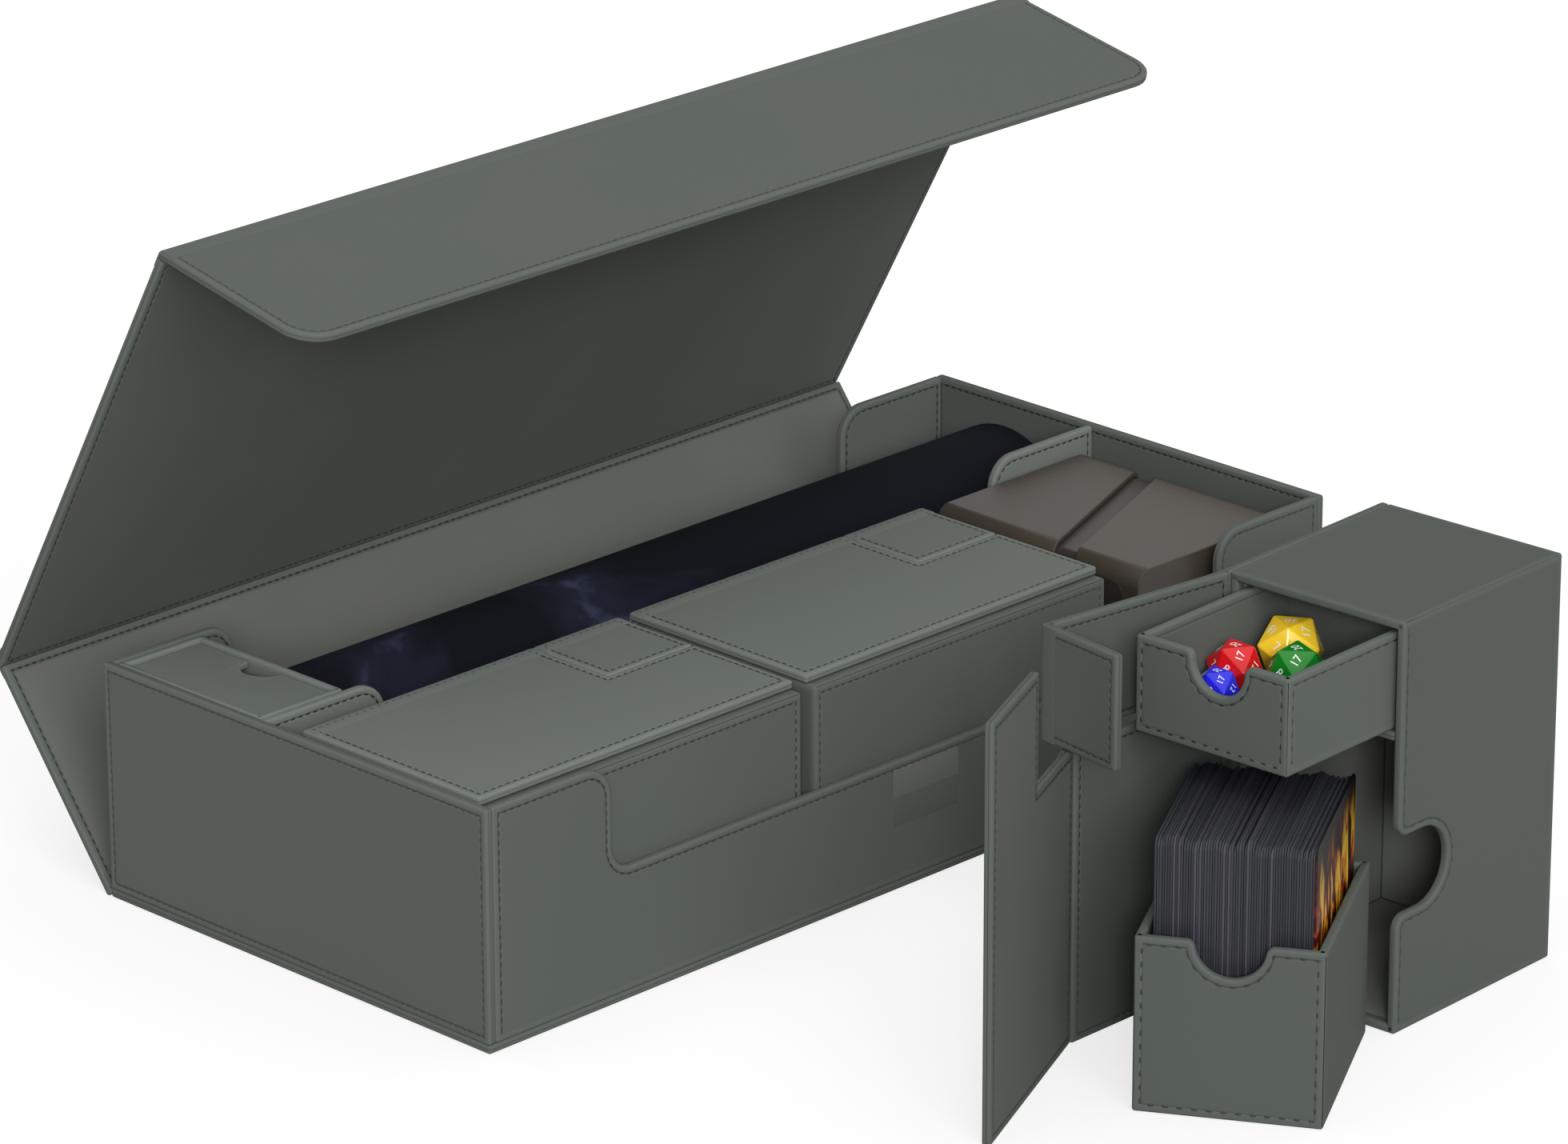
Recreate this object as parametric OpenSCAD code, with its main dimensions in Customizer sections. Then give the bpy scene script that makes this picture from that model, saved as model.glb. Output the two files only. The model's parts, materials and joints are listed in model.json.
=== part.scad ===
// Card storage box: a long leatherette box with a wrap-around flip cover. It holds two deck cases,
// a translucent deck box, a rolled playmat and an accessory tray. A third deck case stands open in
// front of it, with its dice drawer pulled out and its card tray beside it.
// The origin is the centre of the box's underside, X along the box, Y to the back, Z up.

/* [Box] */
// Thickness of the box walls and boards
wall_t = 3; // [2:0.25:4]
// Thickness of the padded bay linings
bay_lining_t = 3; // [1:0.5:5]
// How far the laid cases stand above the box walls
case_proud = 1.2; // [0:0.2:4]
// Depth of the long cut-outs in the front, back and divider walls
cutout_depth = 37.6; // [20:0.2:50]
// Width of wall that stays full height at each end
cutout_margin = 55; // [35:1:80]
// Radius of the cut-out's lower corners
cutout_corner_r = 9; // [4:0.5:14]
// Radius of the shoulders beside the cut-out
cutout_shoulder_r = 11; // [4:0.5:16]
// Gap between the left end wall and the first laid case
end_gap = 1; // [0.5:0.25:4]
// Gap between the two laid cases
between_cases_gap = 6; // [2:0.5:12]
// Gap between the second laid case and the deck box
deckbox_side_gap = 21; // [5:1:40]
// Gap between the deck box and the right end wall
deckbox_end_gap = 6; // [2:0.5:12]
// Free depth behind the laid cases
behind_cases_gap = 16.3; // [6:0.1:30]

/* [Wrap cover] */
// Thickness of the cover panels, with their lining
cover_t = 3; // [2.4:0.2:4]
// Thickness of the lining on a cover panel
cover_lining_t = 1; // [0.5:0.1:1.2]
// Length of the front flap, from its fold
flap_len = 70; // [50:1:78]
// Radius of the flap's two free corners
flap_corner_r = 13; // [4:1:24]
// Lean of the back panel, from upright
back_tilt = 37.7; // [10:0.1:60]
// Turn of the lid from the back panel, 90 when closed
lid_turn = 66.5; // [30:0.1:85]
// Turn of the flap from the lid, 90 when closed
flap_turn = 72.4; // [20:0.1:85]

/* [Label and magnets] */
// Width of the two patches on the front wall
patch_w = 31; // [24:1:60]
// Height of the label patch
label_patch_h = 10.3; // [6:0.1:10.5]
// Height of the closing patch
closing_patch_h = 10; // [9:0.5:12]
// Height of the closing patch's lower edge over the table
patch_low_z = 23; // [18:0.5:24]
// Thickness of the patches
patch_t = 0.5; // [0.3:0.1:0.8]
// Radius of a closing magnet
magnet_r = 4; // [2:0.25:4.25]
// Thickness of a closing magnet
magnet_t = 1.3; // [0.8:0.1:1.3]
// Distance between the closing magnets
magnet_spacing = 16; // [10:1:20]

/* [Deck cases] */
// Depth of a case shell, from its opening to its back
case_depth = 83; // [70:1:100]
// Width of a case shell
case_width = 69.5; // [60:0.5:85]
// Height of a case shell
case_height = 140.5; // [130:0.5:160]
// Thickness of the case walls
case_wall_t = 3; // [2:0.25:3.5]
// Thickness of the shelf between card bay and drawer bay
shelf_t = 3; // [2:0.25:4]
// How much the large side flap stops short of the shell's back
side_flap_short = 3.8; // [1:0.2:12]
// Length of the small side flap, from its fold
small_flap_len = 34.5; // [20:0.5:45]
// Diameter of the thumb cut-out in the shell's side
side_cut_w = 27; // [18:0.5:32]
// Depth of the thumb cut-out in the shell's side
side_cut_depth = 26; // [18:0.5:32]
// Radius of the lips beside that cut-out
side_cut_lip_r = 5; // [2:0.5:8]
// Height of the thumb cut-out's centre over the case's bottom
side_cut_z = 54; // [30:1:65]

/* [Open case] */
// Distance of the open case's corner from the box's left end
open_case_from_left = 207.7; // [180:1:240]
// Distance of the open case from the front wall
open_case_from_box = 122.3; // [115:1:160]
// Turn of the open case
open_case_turn = 3; // [0:0.5:6]
// Opening angle of the card bay door, 0 when closed
card_door_angle = 92.5; // [91:0.5:96]
// Opening angle of the drawer bay door, 0 when closed
drawer_door_angle = 100; // [98:0.5:104]
// Turn of the large side flap from its door, 90 when closed
side_flap_turn = 24.8; // [18:0.2:30]
// Turn of the small side flap from its door, 90 when closed
small_flap_turn = 90; // [80:1:92]
// How far the dice drawer is pulled out
drawer_out = 53; // [30:1:58]

/* [Card tray and cards] */
// Free space beside the card tray in its bay
tray_side_room = 3.1; // [0.8:0.1:8]
// Free depth behind the card tray in its bay
tray_back_room = 4; // [1:0.5:8]
// Outer height of the card tray
tray_h = 59.4; // [45:0.2:70]
// Thickness of the tray and drawer walls
tray_wall_t = 3; // [2:0.25:3.5]
// Radius of the tray's round thumb notch
tray_notch_r = 11.4; // [8:0.1:16]
// Depth of the tray's thumb notch
tray_notch_depth = 11.8; // [8:0.1:14]
// Radius of the shoulders beside the thumb notches of tray and drawer
notch_shoulder_r = 2.8; // [1.5:0.1:5]
// Distance of the tray's near corner in front of the case's opening
tray_before_case = 4.3; // [3:0.1:20]
// Distance of the tray's near corner from the case's side face
tray_beside_case = 7.8; // [0:0.1:9]
// Turn of the tray against the case
tray_turn = 27.5; // [20:0.5:32]
// Free space in front of the sleeved cards in their tray
card_front_room = 3.7; // [0.6:0.1:8]
// Free space above the sleeved cards in their bay
card_headroom = 5.6; // [1:0.1:12]
// Thickness of the single card with the picture side
card_t = 0.8; // [0.4:0.1:1]
// Free space beside the deck on each side
deck_side_gap = 1.6; // [0.6:0.1:4]

/* [Dice drawer and dice] */
// Free space beside the dice drawer in its bay
drawer_side_room = 3; // [0.8:0.1:8]
// Free depth behind the dice drawer in its bay
drawer_back_room = 3; // [1:0.5:8]
// Outer height of the dice drawer
drawer_h = 32.6; // [28:0.2:34]
// Radius of the drawer's round thumb notch
drawer_notch_r = 10.4; // [8:0.1:12]
// Depth of the drawer's thumb notch
drawer_notch_depth = 12.6; // [8:0.1:13]
// Thickness of the drawer's padded floor
drawer_floor_t = 6; // [3:0.5:8]
// Free space above the drawer in its bay
drawer_headroom = 1.7; // [0.8:0.1:4]
// Radius of the yellow die, centre to corner
yellow_die_r = 11.8; // [7:0.1:11.9]
// Radius of the green die
green_die_r = 11.2; // [7:0.1:11.3]
// Radius of the red die
red_die_r = 10.1; // [7:0.1:10.2]
// Radius of the blue die
blue_die_r = 8.2; // [5:0.1:8.3]

/* [Translucent deck box] */
// Width of the deck box, along the storage box
deckbox_w = 79; // [74:1:90]
// Length of the deck box, front to back
deckbox_d = 95; // [94:1:110]
// Height of the deck box as it lies
deckbox_h = 67.6; // [60:0.2:74]
// Wall of its outer halves
deckbox_wall_t = 2; // [1:0.25:2.5]
// Wall of its inner liner
liner_t = 1.5; // [0.8:0.1:2]
// Gap between the liner and the outer halves
liner_gap = 0.3; // [0.3:0.05:0.4]
// Radius of its long edges
deckbox_edge_r = 6; // [5:0.5:9]
// Width of the slanted band between its halves
deckbox_band_w = 9; // [5:0.5:14]
// Slant of the band
deckbox_band_slant = 21.7; // [0:0.1:28]
// Free space before and behind the deck box
deckbox_front_gap = 4; // [3.8:0.1:8]

/* [Rear bay] */
// Outer diameter of the rolled playmat
mat_d = 67; // [56:0.5:74]
// Length of the roll
mat_len = 350; // [300:5:420]
// Width of the mat before rolling
mat_flat_w = 610; // [500:10:640]
// Thickness of the mat
mat_t = 2.2; // [1.5:0.1:2.4]
// Gap between the turns of the roll
mat_turn_gap = 0.5; // [0.45:0.05:0.8]
// Free depth in front of the roll
mat_front_gap = 3.6; // [1:0.1:8]
// Width of the accessory tray
accessory_w = 36.5; // [28:0.5:45]
// Gap between the accessory tray and the roll, at least
accessory_roll_gap = 3; // [2:0.5:8]
// Gap between the roll and the right end wall
mat_end_gap = 2; // [1:0.5:6]
// Thickness of the accessory tray's walls and lid
accessory_wall_t = 2.5; // [1.5:0.25:3]
// Width of the ledge that carries its lid
accessory_ledge_w = 1.8; // [1:0.1:2.5]
// How deep the lid lies under the rim
accessory_lid_recess = 1.2; // [0.4:0.1:2]
// Radius of the lid's thumb notch
accessory_notch_r = 8; // [5:0.5:10]

/* [Fits] */
// Clearance between pieces that move against each other
fit_gap = 0.3; // [0.3:0.05:0.4]
// Clearance of a magnet in its pocket
magnet_gap = 0.1; // [0.05:0.01:0.12]

/* [Hidden] */
$fn = 48;

leather_top = "#646a65";
leather_side = "#575c57";
leather_dark = "#50534f";
lining_dark = "#464844";
lining_light = "#62635f";
smoke = "#5b5550";
card_edge = "#4a4650";

// One overrun serves every cut
over = wall_t;
// How far the shoulders of a thumb notch run into its arc
notch_overlap = fit_gap / 15;

// Folds: each panel ends in a round bead on its fold axis, and its neighbour stops just short
fold_r = cover_t / 2;
fold_reach = fold_r + fit_gap;

// Closed case, measured over its covers
case_closed_depth = case_depth + cover_t + fit_gap;
case_closed_t = case_width + 2 * cover_t + fit_gap;
door_fold_y = case_width + fold_r;
door_len = door_fold_y + fold_reach;
side_flap_len = case_depth - side_flap_short + fold_reach;
shelf_top_z = case_height - case_wall_t - drawer_headroom - drawer_h - fit_gap;
door_split_z = shelf_top_z - shelf_t / 2;
case_inner_w = case_width - 2 * case_wall_t;
case_inner_d = case_depth - case_wall_t;

// Card tray, cards and dice drawer fill their bays less the free space around them
tray_w = case_inner_w - tray_side_room;
tray_d = case_inner_d - tray_back_room;
drawer_w = case_inner_w - drawer_side_room;
drawer_d = case_inner_d - drawer_back_room;
card_w = tray_d - 2 * tray_wall_t - fit_gap - card_front_room;
card_h = shelf_top_z - shelf_t - case_wall_t - fit_gap - tray_wall_t - card_headroom;

// Bays of the box
lining_top_z = cover_t + wall_t + bay_lining_t;
front_bay_d = max(fit_gap + case_closed_depth + behind_cases_gap, deckbox_d + 2 * deckbox_front_gap);
rear_bay_d = mat_front_gap + mat_d + fit_gap;
front_row_len = end_gap + 2 * case_height + between_cases_gap + deckbox_side_gap + deckbox_w
    + deckbox_end_gap;
rear_row_len = fit_gap + accessory_w + accessory_roll_gap + mat_len + mat_end_gap;
inner_len = max(front_row_len, rear_row_len);
box_len = inner_len + 2 * wall_t;
box_depth = front_bay_d + rear_bay_d + 3 * wall_t;
contents_top_z = lining_top_z + max(case_closed_t, deckbox_h, mat_d + fit_gap);
box_height = contents_top_z - case_proud;
divider_y = wall_t + front_bay_d;
rear_bay_y = divider_y + wall_t;

// Wrap cover: fold axes when closed, then the panel lengths between them
back_fold_y = box_depth + fold_reach;
back_fold_z = fold_r;
lid_fold_z = contents_top_z + fit_gap + fold_r;
back_len = lid_fold_z - back_fold_z;
lid_len = back_fold_y + fold_reach;
cover_board_t = cover_t - cover_lining_t;

// Patches and magnets on the middle of the front wall
patch_x = (box_len - patch_w) / 2;
magnet_z = patch_low_z + closing_patch_h / 2;
magnet_xs = [(box_len - magnet_spacing) / 2, (box_len + magnet_spacing) / 2];
flap_magnet_at = lid_fold_z - magnet_z;

// Card tray and its deck
deck_w = tray_w - 2 * tray_wall_t - 2 * deck_side_gap - card_t;
deck_top_shares = [0.985, 1, 0.99, 0.978, 1, 0.992, 0.985, 1, 0.975, 0.99, 1, 0.98];
drawer_notch_at_share = 0.46;

// Dice: centre of each die as shares of the drawer's inner depth and width, then its turn
drawer_inner_d = drawer_d - 2 * tray_wall_t;
drawer_inner_w = drawer_w - 2 * tray_wall_t;
yellow_place_shares = [0.764, 0.745];
green_place_shares = [0.545, 0.478];
red_place_shares = [0.446, 0.826];
blue_place_shares = [0.233, 0.739];
red_turn = 32;
blue_turn = 32;
green_turn = 14;
yellow_turn = 67;
inradius_share = 0.7947;

// Deck box
deckbox_x = wall_t + inner_len - deckbox_end_gap - deckbox_w;
deckbox_y = wall_t + deckbox_front_gap;
band_middle_share = 0.53;

// Accessory tray and roll
accessory_x = wall_t + fit_gap;
accessory_y = rear_bay_y + 2 * fit_gap;
accessory_d = rear_bay_d - 4 * fit_gap;
accessory_h = box_height - lining_top_z - fit_gap;
accessory_lid_z = accessory_h - accessory_lid_recess - accessory_wall_t;
mat_x = wall_t + inner_len - mat_end_gap - mat_len;
mat_y = rear_bay_y + mat_front_gap + mat_d / 2;
mat_z = lining_top_z + fit_gap + mat_d / 2;
mat_pitch = mat_t + mat_turn_gap;
mat_outer_r = mat_d / 2;
// A spiral of this pitch covers the mat's width between the outer and the inner radius
mat_inner_r = sqrt(pow(mat_outer_r, 2) - mat_flat_w * mat_pitch / PI);
mat_turns = (mat_outer_r - mat_inner_r) / mat_pitch;
mat_steps = 40;

// Frames that the pieces are drawn in

module at_box() {
    translate([-box_len / 2, -box_depth / 2, 0]) children();
}

module at_back_panel() {
    at_box() translate([0, back_fold_y, back_fold_z]) rotate([-back_tilt, 0, 0]) children();
}

module at_lid() {
    at_back_panel() translate([0, 0, back_len]) rotate([lid_turn, 0, 0]) children();
}

module at_flap() {
    at_lid() translate([0, 0, lid_len]) rotate([flap_turn, 0, 0]) children();
}

// A laid case: its height runs along the box, its opening looks to the back, its side flap is up
module at_laid_case(place) {
    at_box() translate([
        wall_t + end_gap + place * (case_height + between_cases_gap),
        wall_t + fit_gap + case_depth,
        lining_top_z + cover_t + case_width
    ]) rotate([-90, 0, -90]) children();
}

// The open case: X into the case, Y across it, Z up, from the corner of its opening
module at_open_case() {
    at_box() translate([open_case_from_left, -open_case_from_box, 0])
        rotate([0, 0, open_case_turn]) translate([0, -case_width - cover_t, 0]) children();
}

module at_door(angle) {
    translate([-fold_reach, door_fold_y, 0]) rotate([0, 0, -angle]) children();
}

module at_side_flap(angle) {
    translate([0, -door_len, 0]) rotate([0, 0, angle - 90]) children();
}

module at_card_tray() {
    at_open_case() translate([-tray_before_case, tray_beside_case, 0]) rotate([0, 0, tray_turn])
        translate([-tray_d, 0, 0]) children();
}

module at_drawer(out) {
    translate([fit_gap - out, (case_width - drawer_w) / 2, shelf_top_z + fit_gap]) children();
}

// Shapes that several pieces share

// A cut-out below the edge y = 0: round lower corners, round shoulders
module cutout(width, depth, corner_r, shoulder_r) {
    translate([-width / 2, corner_r - depth]) square([width, depth - corner_r + over]);
    translate([corner_r - width / 2, -depth]) square([width - 2 * corner_r, depth]);
    for (side = [0, 1]) mirror([side, 0]) {
        translate([width / 2 - corner_r, corner_r - depth]) circle(r = corner_r);
        difference() {
            translate([width / 2, -shoulder_r]) square([shoulder_r, shoulder_r + over]);
            translate([width / 2 + shoulder_r, -shoulder_r]) circle(r = shoulder_r);
        }
    }
}

// A round thumb notch below the edge y = 0. Its shoulders run into its arc and overlap it
// by a hair, so that no thin sliver is left between them
module thumb_notch(radius, depth, shoulder_r) {
    rise = radius - depth;
    top = max(rise, 0) + over;
    reach = sqrt(pow(radius + shoulder_r - notch_overlap, 2) - pow(rise + shoulder_r, 2));
    translate([0, rise]) circle(r = radius);
    for (side = [0, 1]) mirror([side, 0]) difference() {
        polygon([[0, rise], [reach, -shoulder_r], [reach, top], [0, top]]);
        translate([reach, -shoulder_r]) circle(r = shoulder_r);
    }
}

// A lengthwise wall of the box, standing on its lower edge at the left end
module long_wall(height) {
    translate([0, wall_t, 0]) rotate([90, 0, 0]) linear_extrude(wall_t) difference() {
        square([inner_len, height]);
        translate([inner_len / 2, height])
            cutout(box_len - 2 * cutout_margin, cutout_depth, cutout_corner_r, cutout_shoulder_r);
    }
}

// An open box with a thumb notch in its front wall
module open_tray(depth, width, height, wall, floor_t, notch_r, notch_depth, notch_at) {
    difference() {
        cube([depth, width, height]);
        translate([wall, wall, floor_t]) cube([depth - 2 * wall, width - 2 * wall, height]);
        translate([-over, notch_at, height]) rotate([90, 0, 90]) linear_extrude(wall + 2 * over)
            thumb_notch(notch_r, notch_depth, notch_shoulder_r);
    }
}

// A cover panel of the box: board with the round bead of its fold
module cover_board(len) {
    rotate([0, 90, 0]) cylinder(r = fold_r, h = box_len);
    translate([0, cover_lining_t - fold_r, 0]) cube([box_len, cover_board_t, len]);
}

module cover_lining(len) {
    translate([0, -fold_r, fold_reach]) cube([box_len, cover_lining_t, len - fold_reach]);
}

// Outline of the front flap, seen on its face: round at the two free corners
module flap_outline() {
    square([box_len, flap_len - flap_corner_r]);
    translate([flap_corner_r, 0]) square([box_len - 2 * flap_corner_r, flap_len]);
    for (x = [flap_corner_r, box_len - flap_corner_r])
        translate([x, flap_len - flap_corner_r]) circle(r = flap_corner_r);
}

// A case panel drawn from its upright fold axis, with the round bead of the fold
module door_panel(low_z, high_z) {
    translate([0, 0, low_z]) cylinder(r = fold_r, h = high_z - low_z);
    translate([-fold_r, fold_reach - door_len, low_z])
        cube([cover_t, door_len - fold_reach, high_z - low_z]);
}

// Pieces of a deck case, drawn closed

module case_shell() {
    color(leather_side) difference() {
        cube([case_depth, case_width, case_height]);
        translate([-over, case_wall_t, case_wall_t]) cube([
            case_inner_d + over, case_inner_w, shelf_top_z - shelf_t - case_wall_t]);
        translate([-over, case_wall_t, shelf_top_z - shelf_t]) cube([
            case_inner_d + over, case_inner_w, case_height - case_wall_t - shelf_top_z + shelf_t]);
        translate([0, case_wall_t + over, side_cut_z]) rotate([90, -90, 0])
            linear_extrude(case_wall_t + 2 * over)
                cutout(side_cut_w, side_cut_depth, side_cut_w / 2 - fit_gap, side_cut_lip_r);
    }
}

module case_shelf() {
    color(leather_dark) translate([0, case_wall_t, shelf_top_z - shelf_t])
        cube([case_inner_d, case_inner_w, shelf_t]);
}

module case_side_board() {
    color(leather_side) translate([0, case_width, 0]) cube([case_depth, cover_t, case_height]);
}

module case_card_door() {
    color(leather_side) door_panel(0, door_split_z - fit_gap);
}

module case_drawer_door() {
    color(leather_side) door_panel(door_split_z + fit_gap, case_height);
}

module case_side_flap() {
    color(leather_top) {
        cylinder(r = fold_r, h = door_split_z - fit_gap);
        translate([0, -fold_r, 0]) cube([side_flap_len, cover_t, door_split_z - fit_gap]);
        translate([small_flap_len + 2 * fit_gap, -fold_r, 0])
            cube([side_flap_len - small_flap_len - 2 * fit_gap, cover_t, case_height]);
    }
}

module case_small_flap() {
    color(leather_top) {
        translate([0, 0, door_split_z + fit_gap])
            cylinder(r = fold_r, h = case_height - door_split_z - fit_gap);
        translate([0, -fold_r, door_split_z + fit_gap])
            cube([small_flap_len, cover_t, case_height - door_split_z - fit_gap]);
    }
}

module tray_shape() {
    open_tray(tray_d, tray_w, tray_h, tray_wall_t, tray_wall_t, tray_notch_r, tray_notch_depth,
        tray_w / 2);
}

module drawer_shape() {
    open_tray(drawer_d, drawer_w, drawer_h, tray_wall_t, drawer_floor_t, drawer_notch_r,
        drawer_notch_depth, drawer_w * drawer_notch_at_share);
}

// In a laid case the tray and the drawer lie on the side board's side of the bay
module stored_tray() {
    color(leather_dark) translate([
        fit_gap, case_width - case_wall_t - fit_gap - tray_w, case_wall_t + fit_gap]) tray_shape();
}

module stored_drawer() {
    color(leather_dark) translate([
        fit_gap, case_width - case_wall_t - fit_gap - drawer_w, shelf_top_z + fit_gap]) drawer_shape();
}

// Main box

module base_cover_panel() {
    color(leather_dark) at_box() cube([box_len, box_depth, cover_t]);
}

module floor_board() {
    color(leather_dark) at_box() translate([wall_t, wall_t, cover_t])
        cube([inner_len, box_depth - 2 * wall_t, wall_t]);
}

module end_wall(x) {
    color(leather_dark) at_box() translate([x, 0, cover_t]) cube([wall_t, box_depth, box_height - cover_t]);
}

module front_wall() {
    color(leather_side) at_box() difference() {
        translate([wall_t, 0, cover_t]) long_wall(box_height - cover_t);
        translate([patch_x, -over, patch_low_z])
            cube([patch_w, over + patch_t, closing_patch_h + label_patch_h]);
        for (x = magnet_xs) translate([x, over, magnet_z]) rotate([90, 0, 0]) translate([
            0, 0, over - patch_t - magnet_t - magnet_gap]) cylinder(
                r = magnet_r + magnet_gap, h = magnet_t + magnet_gap + patch_t);
    }
}

module back_wall() {
    color(leather_side) at_box() translate([wall_t, box_depth - wall_t, cover_t])
        long_wall(box_height - cover_t);
}

module divider_wall() {
    color(leather_side) at_box() translate([wall_t, divider_y, cover_t + wall_t])
        long_wall(box_height - cover_t - wall_t - fit_gap);
}

module bay_lining(y, depth) {
    color(lining_dark) at_box() translate([wall_t, y, cover_t + wall_t])
        cube([inner_len, depth, bay_lining_t]);
}

module label_patch() {
    color(lining_light) at_box() translate([patch_x, 0, patch_low_z + closing_patch_h])
        cube([patch_w, patch_t, label_patch_h]);
}

module closing_patch() {
    color(lining_dark) at_box() translate([patch_x, 0, patch_low_z])
        cube([patch_w, patch_t, closing_patch_h]);
}

module wall_magnets() {
    color("silver") at_box() for (x = magnet_xs)
        translate([x, patch_t + magnet_t, magnet_z]) rotate([90, 0, 0])
            cylinder(r = magnet_r, h = magnet_t);
}

// Wrap cover

module cover_back_panel() {
    color(leather_side) at_back_panel() cover_board(back_len - fold_reach);
}

module cover_back_lining() {
    color(lining_light) at_back_panel() cover_lining(back_len - fold_reach);
}

module cover_lid_panel() {
    color(leather_top) at_lid() cover_board(lid_len - fold_reach);
}

module cover_lid_lining() {
    color(lining_dark) at_lid() cover_lining(lid_len - fold_reach);
}

module cover_flap_panel() {
    color(leather_top) at_flap() {
        rotate([0, 90, 0]) cylinder(r = fold_r, h = box_len);
        difference() {
            translate([0, fold_r, 0]) rotate([90, 0, 0]) linear_extrude(cover_board_t) flap_outline();
            for (x = magnet_xs) translate([x, 0, flap_magnet_at]) rotate([90, 0, 0])
                translate([0, 0, fold_r - cover_lining_t - magnet_t - magnet_gap])
                    cylinder(r = magnet_r + magnet_gap, h = magnet_t + magnet_gap + over);
        }
    }
}

module cover_flap_lining() {
    color(lining_dark) at_flap() translate([0, cover_lining_t - fold_r, 0]) rotate([90, 0, 0])
        linear_extrude(cover_lining_t) difference() {
            flap_outline();
            translate([-over, -over]) square([box_len + 2 * over, fold_reach + over]);
        }
}

module flap_magnets() {
    color("silver") at_flap() for (x = magnet_xs)
        translate([x, cover_lining_t - fold_r + magnet_t, flap_magnet_at]) rotate([90, 0, 0])
            cylinder(r = magnet_r, h = magnet_t);
}

// Rear bay

module accessory_tray() {
    color(leather_side) at_box() translate([accessory_x, accessory_y, lining_top_z]) difference() {
        cube([accessory_w, accessory_d, accessory_h]);
        translate([accessory_wall_t, accessory_wall_t, accessory_lid_z]) cube([
            accessory_w - 2 * accessory_wall_t, accessory_d - 2 * accessory_wall_t, accessory_h]);
        translate([
            accessory_wall_t + accessory_ledge_w, accessory_wall_t + accessory_ledge_w, accessory_wall_t
        ]) cube([
            accessory_w - 2 * accessory_wall_t - 2 * accessory_ledge_w,
            accessory_d - 2 * accessory_wall_t - 2 * accessory_ledge_w, accessory_h]);
    }
}

module accessory_lid() {
    lid_w = accessory_w - 2 * accessory_wall_t - 2 * fit_gap;
    lid_d = accessory_d - 2 * accessory_wall_t - 2 * fit_gap;
    color(leather_top) at_box() translate([
        accessory_x + accessory_wall_t + fit_gap, accessory_y + accessory_wall_t + fit_gap,
        lining_top_z + accessory_lid_z
    ]) difference() {
        cube([lid_w, lid_d, accessory_wall_t]);
        translate([lid_w, lid_d / 2, -over])
            cylinder(r = accessory_notch_r, h = accessory_wall_t + 2 * over);
    }
}

function spiral_r(turn) = mat_outer_r - mat_t - mat_pitch * turn;

// The roll starts with its free edge underneath
function spiral_way(turn) = [sin(360 * turn), -cos(360 * turn)];

module playmat_roll() {
    last = floor(mat_turns * mat_steps);
    inner_side = [for (i = [0:last]) spiral_r(i / mat_steps) * spiral_way(i / mat_steps)];
    outer_side = [for (i = [last:-1:0]) (spiral_r(i / mat_steps) + mat_t) * spiral_way(i / mat_steps)];
    color("#1a1d28") at_box() translate([mat_x, mat_y, mat_z]) rotate([90, 0, 90])
        linear_extrude(mat_len) polygon(concat(inner_side, outer_side));
}

// Translucent deck box

// A block whose edges along Y are round
module round_block(width, depth, height, edge_r) {
    translate([0, depth, 0]) rotate([90, 0, 0]) linear_extrude(depth) {
        translate([edge_r, 0]) square([width - 2 * edge_r, height]);
        translate([0, edge_r]) square([width, height - 2 * edge_r]);
        for (x = [edge_r, width - edge_r], z = [edge_r, height - edge_r])
            translate([x, z]) circle(r = edge_r);
    }
}

module at_deckbox() {
    at_box() translate([deckbox_x, deckbox_y, lining_top_z]) children();
}

// The space in front of (side = -1) or behind (side = 1) the slanted band
module band_side(side) {
    reach = deckbox_w + deckbox_d;
    translate([deckbox_w / 2, deckbox_d * band_middle_share, -over]) rotate([0, 0, deckbox_band_slant])
        translate([-reach, side > 0 ? deckbox_band_w / 2 : -reach - deckbox_band_w / 2, 0])
            cube([2 * reach, reach, deckbox_h + 2 * over]);
}

module deckbox_half(side) {
    color(smoke, 0.6) at_deckbox() intersection() {
        difference() {
            round_block(deckbox_w, deckbox_d, deckbox_h, deckbox_edge_r);
            translate([deckbox_wall_t, deckbox_wall_t, deckbox_wall_t]) round_block(
                deckbox_w - 2 * deckbox_wall_t, deckbox_d - 2 * deckbox_wall_t,
                deckbox_h - 2 * deckbox_wall_t, deckbox_edge_r - deckbox_wall_t);
        }
        band_side(side);
    }
}

module deckbox_liner() {
    inset = deckbox_wall_t + liner_gap;
    color(smoke, 0.6) at_deckbox() difference() {
        translate([inset, inset, inset]) round_block(
            deckbox_w - 2 * inset, deckbox_d - 2 * inset, deckbox_h - 2 * inset, deckbox_edge_r - inset);
        translate([inset + liner_t, -over, inset + liner_t]) cube([
            deckbox_w - 2 * inset - 2 * liner_t, deckbox_d + over - inset - liner_t,
            deckbox_h - 2 * inset - 2 * liner_t]);
    }
}

module deckbox_cards() {
    side = deckbox_wall_t + liner_gap + liner_t + fit_gap;
    color(card_edge) at_deckbox() translate([side, deckbox_wall_t + 2 * liner_gap, side - fit_gap]) cube([
        deckbox_w - 2 * side, deckbox_d - 2 * deckbox_wall_t - 3 * liner_gap - liner_t - fit_gap,
        deckbox_h - 2 * side]);
}

// Cards and dice

module card_deck() {
    slab_w = deck_w / len(deck_top_shares);
    color(card_edge) at_card_tray() for (i = [0:len(deck_top_shares) - 1]) translate([
        tray_wall_t + tray_d - 2 * tray_wall_t - card_w - fit_gap,
        tray_wall_t + deck_side_gap + card_t + i * slab_w, tray_wall_t
    ]) cube([card_w, slab_w, card_h * deck_top_shares[i]]);
}

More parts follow.
